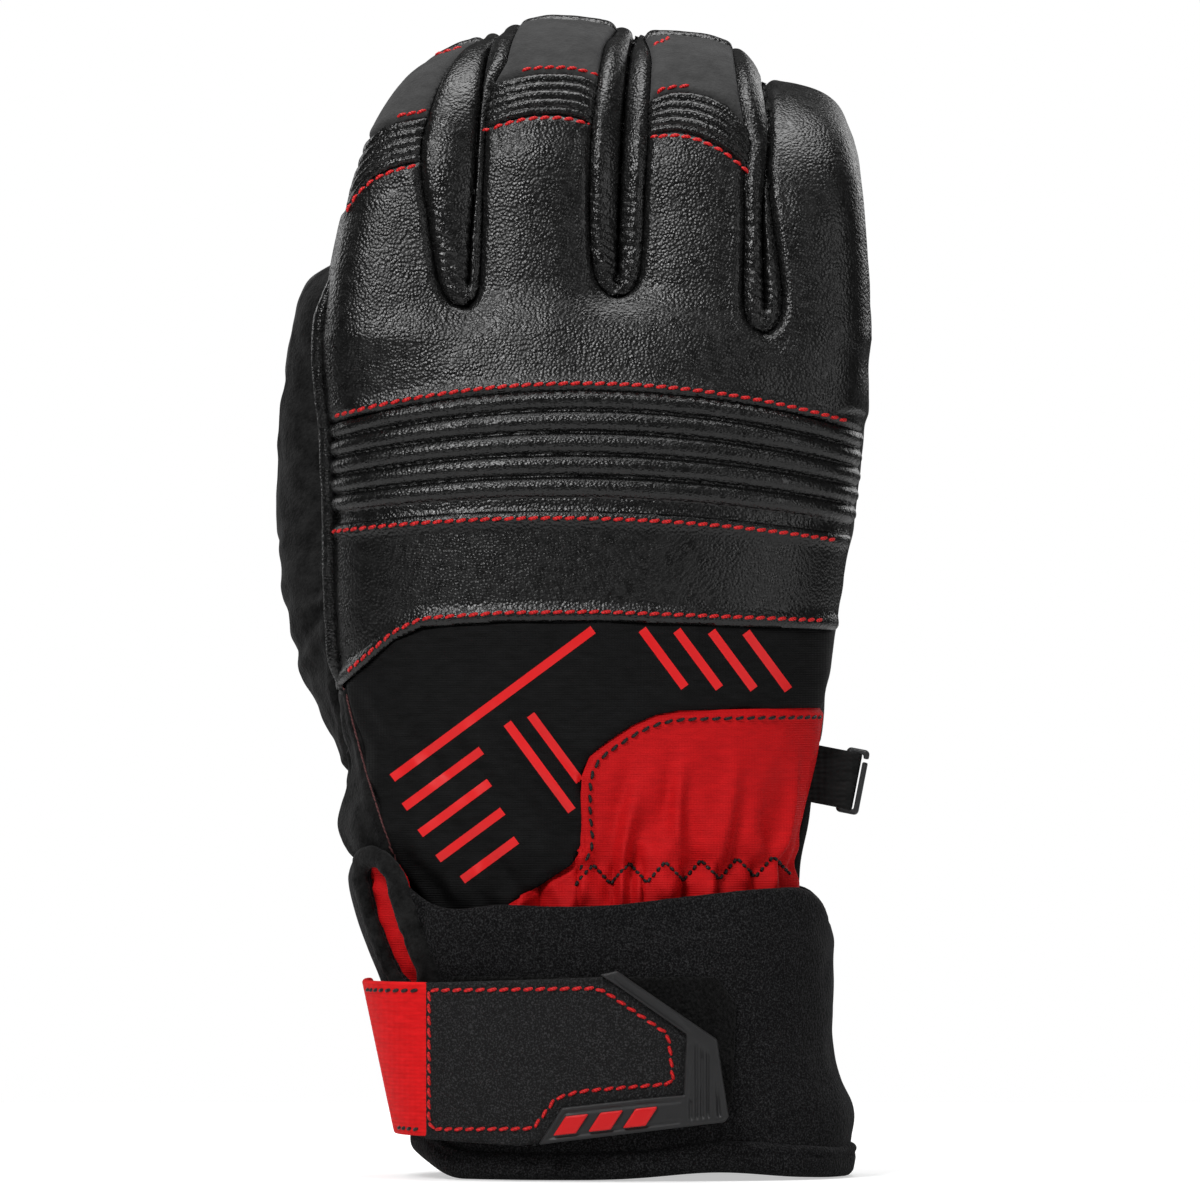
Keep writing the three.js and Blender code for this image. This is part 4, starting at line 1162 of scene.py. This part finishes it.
def hem_distance(p):
    x, z = p[:, 0], p[:, 2]
    off = cuff_offset(p) - 0.35 * wobble(p, 12, 53)
    low = HEM_LIFT * smoothstep(-28, -42, x) ** 1.5 + HEM_ARCH * bump(x - 25, 15) + 0.2
    high = hem_top(x)[0] + 0.25 * wobble(p, 16, 54)
    middle, half = (low + high) / 2, (high - low) / 2
    across = np.maximum(np.abs(off + 0.75) - 0.2, 0)
    along = np.maximum(np.abs(z - middle) - half + 1.9, 0)
    return np.hypot(across, along) - 1.9 + 0.45 * bump(z - high + 2.3, 0.45)


def binding_distance(p):
    hole, depth = keyhole(p)
    off = cuff_offset(p)
    ring = np.sqrt(((hole - 2.0) / 2.3) ** 2 + ((off - 0.3) / 1.6) ** 2) - 1
    crinkle = 0.12 * wobble(p, 4, 54)
    return np.where((depth < 18) & (p[:, 0] < -30), ring * 1.6 + crinkle, 3.0)


def gusset_distance(p):
    hole, depth = keyhole(p)
    fold = 0.8 * np.sin(0.9 * p[:, 1] + 0.12 * p[:, 2] + wobble(p, 14, 55)) + 0.4 * wobble(p, 5, 56)
    wall = np.abs(cuff_offset(p) + 2.2 + 0.7 * fold) - 0.5
    return np.where(depth < 18, rounded_and(0.5, wall, hole - 2.0), 3.0)


def elastic_distance(p):
    """The band inside the cuff that draws the wrist in."""
    gathers = 0.35 * np.sin(36 * np.arctan2(p[:, 1], p[:, 0]))
    hole, depth = keyhole(p)
    gap = 2.0 + 2.6 * (depth < 18) * smoothstep(8, 4, hole)
    return rounded_and(
        0.8, cuff_offset(p) + gap, -3.6 - hand_distance(p), np.abs(p[:, 2] - 55) - 2.2 + gathers,
)


# Front outlines on the cuff and the strap, as x and height.
PATCH = [(-32, 12), (24, 12), (28.6, 17), (29.4, 38), (25, 44), (-32, 44)]
TAB = [(-37.6, 8.6), (-17, 7.5), (25.4, 13.8), (24, 30), (2.2, 43.9), (-37.6, 42.5)]
HOOKS = [(-30, 12), (-16, 11), (12, 15), (12, 28), (-4, 38), (-30, 38)]
BADGE = [
    (0, 44.2), (3.6, 45), (24.9, 30.4), (27.4, 14), (26.5, 12.8), (-8.6, 8.6), (-17, 7.4), (-13, 8.2),
    (-8.1, 15.9), (8.6, 17.8), (17.8, 18.6), (18.4, 31.5), (4.9, 41),
]
BARS = [[(-10.4, 9.7), (-7.4, 14.3), (-2.0, 14.9), (-5.0, 10.3)]]
BARS += [[(x + shift, z + 0.8 * i) for x, z in BARS[0]] for i, shift in ((1, 7.4), (2, 14.8))]


def plate(outline, offset, low, high, edge=0.5):
    """A plate between two offsets of a sleeve with a front outline."""
    middle, half = (low + high) / 2, (high - low) / 2

    def distance(p):
        flat = polygon_distance(outline, p[:, 0], p[:, 2])
        solid = rounded_and(edge, np.abs(offset(p) - middle) - half, flat + 0.2)
        return np.where(p[:, 1] < -4, solid, 3.0)

    return distance


def badge_distance(p):
    x, z = p[:, 0], p[:, 2]
    off = strap_offset(p)
    flat = polygon_distance(BADGE, x, z)
    grooves = sum(
        bump(x - at, 0.34)
        for at in (19.3, 20.5, 21.7, 22.9)
) + 1.2 * bump(x - 25.0 + 0.04 * (z - 22), 0.4)
    grooves *= smoothstep(-0.8, -2.0, flat) * smoothstep(31.4, 29.4, z + 0.68 * (x - 19.3))
    bar = np.abs((x - 3.2) * 0.577 + (z - 43.3) * 0.817 + 1.1)
    trough = bump(bar - 1.0, 0.35) * smoothstep(2.5, 5, x) * smoothstep(20, 17, x)
    top = 1.9 - 0.6 * grooves - 0.5 * trough - 0.35 * bump(flat + 1.2, 0.35) * smoothstep(18, 16, x)
    solid = rounded_and(0.5, np.maximum(off - top, -0.4 - off), flat)
    return np.where(p[:, 1] < -4, solid, 3.0)


def band(low_z, high_z, inside):
    """A length of strap webbing between two heights, where the given condition of y and x holds."""

    def distance(p):
        wall = np.abs(strap_offset(p) + 0.8) - 0.75
        ends = np.maximum(p[:, 2] - high_z, low_z - p[:, 2])
        ripple = 0.03 * np.sin(p[:, 2] * 2 * math.pi / 1.1)
        return rounded_and(0.4, wall + ripple, ends, inside(p))

    return distance


LINK_AT = np.array([46.9, 0.0, 86.4])
LINK_TILT = math.radians(11)


def at_link(p):
    rel = p - LINK_AT
    along = rel[:, 0] * math.cos(LINK_TILT) - rel[:, 2] * math.sin(LINK_TILT)
    up = rel[:, 0] * math.sin(LINK_TILT) + rel[:, 2] * math.cos(LINK_TILT)
    return along, rel[:, 1], up


def box_distance(x, y, z, centre, half, soft_edge):
    q = [np.abs(v - c) - h + soft_edge for v, c, h in zip((x, y, z), centre, half)]
    out = np.sqrt(sum(np.maximum(part, 0) ** 2 for part in q))
    return out + np.minimum(np.maximum.reduce(q), 0) - soft_edge


def loop_distance(p):
    x, y, z = at_link(p)
    stadium = np.where(x < 6.2, np.abs(y), np.hypot(x - 6.2, y)) - 1.95
    return rounded_and(0.4, np.abs(stadium) - 0.45, np.abs(z) - 6.2, -2.5 - x, x - 11)


def hook_distance(p):
    x, y, z = at_link(p)
    outer = box_distance(x, y, z, (7.6, 0, 0), (2.5, 1.1, 7.1), 1.0)
    hole = box_distance(x, y, z, (7.7, 0, 0), (1.2, 3, 6.0), 0.4)
    notch = box_distance(x, y, z, (9.6, 0, 4.8), (1.2, 3, 0.35), 0.1)
    return rounded_and(0.3, outer, -hole, -notch)


solids = {}


def made_of(name, distance, low, high, cell, look, slot=None, **options):
    """A solid piece from its distance function; slot, which defaults to its look's name, is not used."""
    solids[name] = surface(distance, low, high, cell * (1))
    piece(name, *solids[name], look, slot or look, **options)


CUFF_BOX = (-62, -42, -3), (62, 42, 72)
made_of("cuff_body", sleeve_distance, *CUFF_BOX, 0.6, "neoprene", replaces=["cuff_sleeve"], pad=0.7)
made_of("cuff_edge", hem_distance, (-46, -38, -2), (60, 38, 12), 0.5, "neoprene", replaces=["cuff_hem"])
made_of(
    "wrist_band", elastic_distance, (-62, -42, 50), (62, 42, 60), 0.6, "black_webbing", "fleece",
    replaces=["wrist_elastic"], pad=0.5,
)
KEY_BOX = (-60, -36, 32), (-34, 6, 76)
made_of("keyhole_rim", binding_distance, *KEY_BOX, 0.35, "suede", replaces=["keyhole_binding"])
made_of("keyhole_lining", gusset_distance, *KEY_BOX, 0.4, "red_fabric", replaces=["keyhole_gusset"])
STRAP_BOX = (-58, -46, 4), (32, 0, 48)
made_of(
    "loop_pile", plate(PATCH, cuff_offset, 0.1, 1.2, 0.8), *STRAP_BOX, 0.5, "hook_and_loop",
    replaces=["loop_patch"],
)
front_band = band(9.4, 42.4, lambda p: np.maximum(p[:, 1] + 11.4, p[:, 0] + 36.6))
side_band = band(9.4, 42.4, lambda p: np.maximum(np.maximum(-11.8 - p[:, 1], p[:, 1] - 12), p[:, 0]))
made_of("red_strap", front_band, *STRAP_BOX, 0.4, "red_webbing", body="strap", replaces=["strap_webbing"])
made_of(
    "red_strap_root", side_band, (-58, -14, 4), (-38, 15, 48), 0.4, "red_webbing",
    replaces=["strap_anchor"],
)
STRAP_PLATES = [
    ("tab", plate(TAB, strap_offset, -1.6, 0.0), 0.45, "microfibre", ["strap_tab"]),
    ("tab_hooks", plate(HOOKS, strap_offset, -2.7, -1.7), 0.5, "hook_and_loop", ["strap_hook_patch"]),
    ("badge", badge_distance, 0.3, "badge_rubber", ["strap_badge"]),
]
STRAP_PLATES += [
    (
        f"badge_stripe_{i + 1}", plate(bar, strap_offset, 1.6, 2.6, 0.4), 0.25, "badge_red",
        [f"badge_bar_{i + 1}"],
)
    for i, bar in enumerate(BARS)
]
for name, distance, cell, look, nodes in STRAP_PLATES:
    made_of(name, distance, (-40, -46, 4), (30, -20, 48), cell, look, body="strap", replaces=nodes)
made_of(
    "link_webbing", loop_distance, (40, -5, 76), (60, 5, 97), 0.25, "black_webbing", replaces=["link_loop"],
)
made_of(
    "link_frame", hook_distance, (48, -4, 74), (62, 4, 96), 0.25, "grey_plastic", body="hook",
    replaces=["link_hook"],
)


def lining_distance(part):
    """The insulated lining inside the hand, or inside one finger."""

    def distance(p):
        skin = hand_distance(p) if part == "hand" else finger_distances(p)[1][NAMES.index(part)]
        inset = 3.6 + 1.8 * bump(p[:, 2] - 60, 16)
        wall = np.abs(skin + inset) - 0.8 + 0.15 * wobble(p, 9, 61)
        return rounded_and(0.4, wall, (54 if part == "hand" else 182) - p[:, 2])

    return distance


made_of(
    "lining_hand", lining_distance("hand"), (-64, -30, 50), (62, 30, 196), 1.3, "fleece",
    replaces=["insulated_lining"], pad=0.6,
)
for name in NAMES:
    x = FINGERS[name]["x"]
    box = (x - 18, -30, 178), (x + 30, 46, 252)
    made_of("lining_" + name, lining_distance(name), *box, 1.3, "fleece", bends=name, pad=0.6)

# ---- Thread and print ----------------------------------------------------------------------------------

STITCH = 2.6  # from one stitch to the next
THREAD = 0.38


def joined(parts):
    """Several meshes' points and faces as one."""
    starts = np.cumsum([0] + [len(p) for p, _ in parts[:-1]])
    return np.concatenate([p for p, _ in parts]), np.concatenate([f + s for (_, f), s in zip(parts, starts)])


hand_skin = joined([(sheet.points, sheet.faces) for sheet in sheets.values()])
hand_tree = BVHTree.FromPolygons(hand_skin[0].tolist(), hand_skin[1].tolist())
strap_skin = joined([solids[name] for name in ("red_strap", "tab", "cuff_body")])
strap_tree = BVHTree.FromPolygons(strap_skin[0].tolist(), strap_skin[1].tolist())


def resampled(line, step):
    """Points at equal steps along a line of any dimension."""
    line = np.asarray(line, float)
    lengths = np.concatenate([[0], np.cumsum(np.linalg.norm(np.diff(line, axis=0), axis=1))])
    at = np.linspace(0, lengths[-1], max(2, int(round(lengths[-1] / step)) + 1))
    return np.stack([np.interp(at, lengths, column) for column in line.T], -1)


def laid(line, tree, side=1):
    """Points and normals where a line drawn from the front (1) or the palm (-1) lands on a surface."""
    found = [tree.ray_cast(Vector((x, -90 * side, z)), Vector((0, side, 0))) for x, z in line]
    found = [(tuple(hit), tuple(normal)) for hit, normal, _, _ in found if hit is not None]
    if len(found) < 2:
        return np.zeros((0, 3)), np.zeros((0, 3))
    return tuple(np.array(part) for part in zip(*found))


PIPING_RADIUS = 1.8
piping_z = np.arange(103.0, 200, 3)
piping_x = [base_tree.ray_cast(Vector((-90, SIDE_SEAM_Y, z)), Vector((1, 0, 0)))[0].x - 0.3 for z in piping_z]


def piping_distance(p):
    """The rolled edge that runs down the thumb side of the hand and dives into the seam at its ends."""
    fade = smoothstep(104, 112, p[:, 2]) * smoothstep(196, 184, p[:, 2])
    sideways = p[:, 0] - np.interp(p[:, 2], piping_z, piping_x) - 1.4 * (1 - fade)
    round_seam = np.hypot(sideways, p[:, 1] - SIDE_SEAM_Y + 2) - PIPING_RADIUS * (0.5 + 0.5 * fade)
    return rounded_and(0.5, round_seam + 0.08 * wobble(p, 6, 71), 103.5 - p[:, 2], p[:, 2] - 197)


made_of("side_piping", piping_distance, (-70, -8, 100), (-40, 4, 200), 0.45, "smooth_leather", "leather")

RINGS = [(-1, 0.25), (-0.8, 0.75), (-0.35, 1), (0.35, 1), (0.8, 0.75), (1, 0.25)]
ROUND = np.linspace(0, 2 * math.pi, 7)[:-1]


def stitch(centre, along, up, length, radius):
    """One stitch: a short thread with ends that dive into the leather."""
    side = np.cross(up, along)
    rows = []
    for at, size in RINGS:
        middle = centre + along * at * length / 2 - up * radius * (1.5 * abs(at) ** 3 - 0.45)
        rows.append([middle + radius * size * (math.cos(t) * side + math.sin(t) * up) for t in ROUND])
    p = np.array(rows).reshape(-1, 3)
    # The rings have six corners each, and four-sided faces close the two ends.
    i, j = np.meshgrid(np.arange(len(RINGS) - 1), np.arange(6), indexing="ij")
    a, b = (i * 6 + j).ravel(), (i * 6 + (j + 1) % 6).ravel()
    quads = np.stack([a, b, b + 6, a + 6], -1)
    last = (len(RINGS) - 1) * 6
    ends = [
        [0, 3, 2, 1], [0, 5, 4, 3], [last, last + 1, last + 2, last + 3],
        [last, last + 3, last + 4, last + 5],
]
    return p, np.concatenate([quads, np.array(ends)])


def sewn(name, lines, tree, look, slot, pitch=STITCH, share=0.94, lean=0.2, radius=THREAD, side=1, **options):
    """Rows of stitches along front lines."""
    parts = []
    for line in lines:
        p, n = laid(resampled(line, pitch / 4), tree, side)
        if len(p) < 4:
            continue
        both = resampled(np.concatenate([p, n], 1), 0.5)
        p = resampled(p, pitch)
        nearest = np.array([np.argmin(((both[:, :3] - q) ** 2).sum(1)) for q in p])
        n = both[nearest, 3:]
        n /= np.linalg.norm(n, axis=1, keepdims=True)
        for a, b, up in zip(p[:-1], p[1:], n[:-1]):
            step = b - a
            if np.linalg.norm(step) > 2 * pitch:
                continue
            along = step - up * (step @ up)
            along /= np.linalg.norm(along)
            along = along + lean * np.cross(up, along)
            along /= np.linalg.norm(along)
            parts.append(stitch((a + b) / 2, along, up, pitch * share, radius))
    p, f = joined(parts)
    return piece(name, p, f, look, slot, **options)


def across(low, high, height, step=2.0):
    """A front line at a height given by x."""
    xs = np.arange(low, high, step)
    return np.stack([xs, height(xs)], -1)


def beside(line, by):
    """A line moved to its left by a distance, mitred at its corners."""
    line = np.asarray(line, float)
    steps = np.diff(line, axis=0)
    steps /= np.linalg.norm(steps, axis=1, keepdims=True)
    turned = np.stack([-steps[:, 1], steps[:, 0]], -1)
    before, after = np.concatenate([turned[:1], turned]), np.concatenate([turned, turned[-1:]])
    mitre = before + after
    return line + by * mitre / np.maximum((mitre * before).sum(1, keepdims=True), 0.35)


sewn("seam_thread", [
    across(-57, 54.5, lambda x: ribbed_top(x) + 1.6), across(-57.5, 52, lambda x: ribbed_bottom(x) - 1.5),
    across(-54.2, 49.5, lambda x: band_hem(x) + 2.0),
] + [np.array([(x, z - 1.15) for x, z in bottom[1:-1]]) for bottom, _ in RIB_EDGES.values()],
    hand_tree, "red_thread", "leather")
TOP_STITCHES = {
    "index": [[(-43.7, 227.9), (-37.4, 229)], [(-36.4, 241.6), (-29.8, 243.4)]],
    "middle": [[(-17, 237.8), (-12.8, 238.4), (-7.3, 238.4), (-3.7, 237.9), (-0.6, 236.6)]],
    "ring": [[(11.9, 233), (15.2, 234.3), (19.4, 234.4)], [(11.3, 243.4), (15.2, 245.6)]],
}
for name, lines in TOP_STITCHES.items():
    sewn(name + "_thread", lines, hand_tree, "red_thread", "leather", bends=name)
ZIGZAG = [(ZIGZAG_PEAK + (i - 3) * ZIGZAG_PITCH / 2, (62.9, 67.2)[i % 2] + 0.16 * i) for i in range(13)]
zigzag_lines = [ZIGZAG[i : i + 2] for i in range(len(ZIGZAG) - 1)]
border_line = beside([(47.5, 100.7)] + GATHER[1:-4], 1.9)
sewn("zigzag_thread", zigzag_lines, hand_tree, "black_thread", "red_fabric", pitch=1.5, share=0.95)
sewn("gather_thread", [border_line], hand_tree, "black_thread", "red_fabric", share=0.86)
closed_patch = np.concatenate([PALM_PATCH, PALM_PATCH[:2]])
wrist_line = across(-44, 44, lambda x: WRIST_SEAM_Z + 1.6 + 0 * x)
sewn("palm_thread", [beside(closed_patch, 1.6), wrist_line], hand_tree, "red_thread", "nubuck", side=-1)
heights = np.arange(63, 108, 1.5)
sewn(
    "edge_thread", [np.stack([fabric_left(heights), heights], -1)], hand_tree, "dull_thread",
    "black_fabric", share=1.3, lean=0, radius=0.22,
)
TAB_SEAM = [
    (-36.4, 40.7), (0, 41.3), (14.6, 31.4), (15.6, 21), (-4.1, 19.4), (-9.4, 17.9), (-14.2, 11.4),
    (-36.4, 11),
]
sewn("tab_thread", [TAB_SEAM + TAB_SEAM[:1]], strap_tree, "red_thread", "microfibre", body="strap")
sewn(
    "strap_thread", [[(-50, 40.4), (-38.6, 40.6)], [(-46, 11), (-38.6, 10.8)]], strap_tree, "black_thread",
    "red_webbing", body="strap",
)

PRINT_WIDTH = 1.9
PRINT_PROUD = 0.1
RISING = [
    ((-44.4, 85.8), 53.4), ((-41.8, 79.6), 20.5), ((-38.4, 74), 18.4), ((-34.6, 68.6), 17.2),
    ((-29.4, 64.1), 14.4),
]
FALLING = [((-19.8, 97.6), 23.2), ((-14.8, 99.4), 17.6)] + [
    ((9 + 7.4 * i, 117.6 - 0.2 * i), 15.3)
    for i in range(4)
]
PRINT_ANGLE = math.radians(36.5)


def stroke(start, length, angle):
    return [start, (start[0] + length * math.cos(angle), start[1] + length * math.sin(angle))]


def resampled_like(rail, line, step=0.8):
    """A rail beside a line, sampled with the same number of points on each straight as the line needs."""
    out = [rail[:1]]
    for a, b, c, d in zip(rail[:-1], rail[1:], np.asarray(line, float)[:-1], np.asarray(line, float)[1:]):
        steps = max(1, int(round(np.linalg.norm(d - c) / step)))
        out.append(a + (b - a) * (np.arange(1, steps + 1) / steps)[:, None])
    return np.concatenate(out)


def printed(name, lines):
    """Flat lines of ink on the fabric."""
    parts = []
    for line in lines:
        rails = [resampled_like(beside(line, by), line) for by in (PRINT_WIDTH / 2, 0, -PRINT_WIDTH / 2)]
        landed = [laid(rail, hand_tree) for rail in rails]
        if len({len(p) for p, _ in landed}) > 1:
            continue
        count = len(landed[0][0])
        p = np.concatenate([p + PRINT_PROUD * n for p, n in landed])
        n = np.concatenate([n for _, n in landed])
        first = np.arange(count - 1)
        rows = [(first, first + count), (first + count, first + 2 * count)]
        f = [np.stack(corners, -1) for a, b in rows for corners in ((a, b, b + 1), (a, b + 1, a + 1))]
        parts.append(with_skirt(p, np.concatenate(f), n, 0.35))
    p, f = joined([part[:2] for part in parts])
    piece(name, p, f, "print_red", "black_fabric", normals=np.concatenate([n for _, _, n in parts]))


strokes = [stroke(*row, PRINT_ANGLE) for row in RISING] + [
    stroke(*row, PRINT_ANGLE - math.pi / 2)
    for row in FALLING
]
printed("print_lines", strokes)

# ---- Stage ---------------------------------------------------------------------------------------------


def stage_mesh():
    """A pale floor."""
    half = 0.5
    mesh = bpy.data.meshes.new("stage")
    mesh.from_pydata(
        [(-half, -half, 0), (half, -half, 0), (half, half, 0), (-half, half, 0)], [], [(0, 1, 2, 3)],
)
    floor = bpy.data.objects.new("stage", mesh)
    bpy.context.scene.collection.objects.link(floor)
    look = Look("stage", (0.7, 0.7, 0.7), 0.9, 0.0)
    seen = look.node("ShaderNodeLightPath").outputs["Is Camera Ray"]
    look.links.new(look.scaled(seen, 0, 1, 0.05, 0.5), look.shader.inputs["Emission Strength"])
    look.shader.inputs["Emission Color"].default_value = (1, 1, 1, 1)
    mesh.materials.append(look.material)


stage_mesh()


def softbox(name, at, towards, size, watts):
    lamp = bpy.data.lights.new(name, "AREA")
    lamp.shape = "RECTANGLE"
    lamp.size, lamp.size_y, lamp.energy = size[0], size[1], watts
    made = bpy.data.objects.new(name, lamp)
    bpy.context.scene.collection.objects.link(made)
    made.location = at
    made.rotation_euler = (Vector(towards) - Vector(at)).to_track_quat("-Z", "Y").to_euler()


softbox("key_light", (-0.5, -0.9, 0.95), (0, 0, 0.17), (0.42, 0.42), 11)
softbox("fill_light", (0.9, -0.8, 0.4), (0, 0, 0.13), (0.4, 0.8), 2.2)
softbox("top_light", (0.0, 0.1, 1.3), (0, 0, 0.2), (0.9, 0.6), 12)
softbox("back_light", (0.7, 1.1, 0.6), (0, 0, 0.14), (0.6, 0.6), 2.4)
softbox("back_fill", (-0.9, 0.9, 0.5), (0, 0, 0.14), (0.6, 0.6), 2.5)
sky = bpy.data.worlds.new("studio")
sky.use_nodes = True
sky_nodes, sky_links = sky.node_tree.nodes, sky.node_tree.links
backdrop = sky_nodes.new("ShaderNodeMapRange")
sky_links.new(sky_nodes.new("ShaderNodeLightPath").outputs["Is Camera Ray"], backdrop.inputs["Value"])
backdrop.inputs["To Min"].default_value, backdrop.inputs["To Max"].default_value = 0.07, 1.0
sky_links.new(backdrop.outputs["Result"], sky_nodes["Background"].inputs["Strength"])
sky_nodes["Background"].inputs["Color"].default_value = (1, 1, 1, 1)
bpy.context.scene.world = sky
bpy.context.scene.view_settings.view_transform = "Standard"
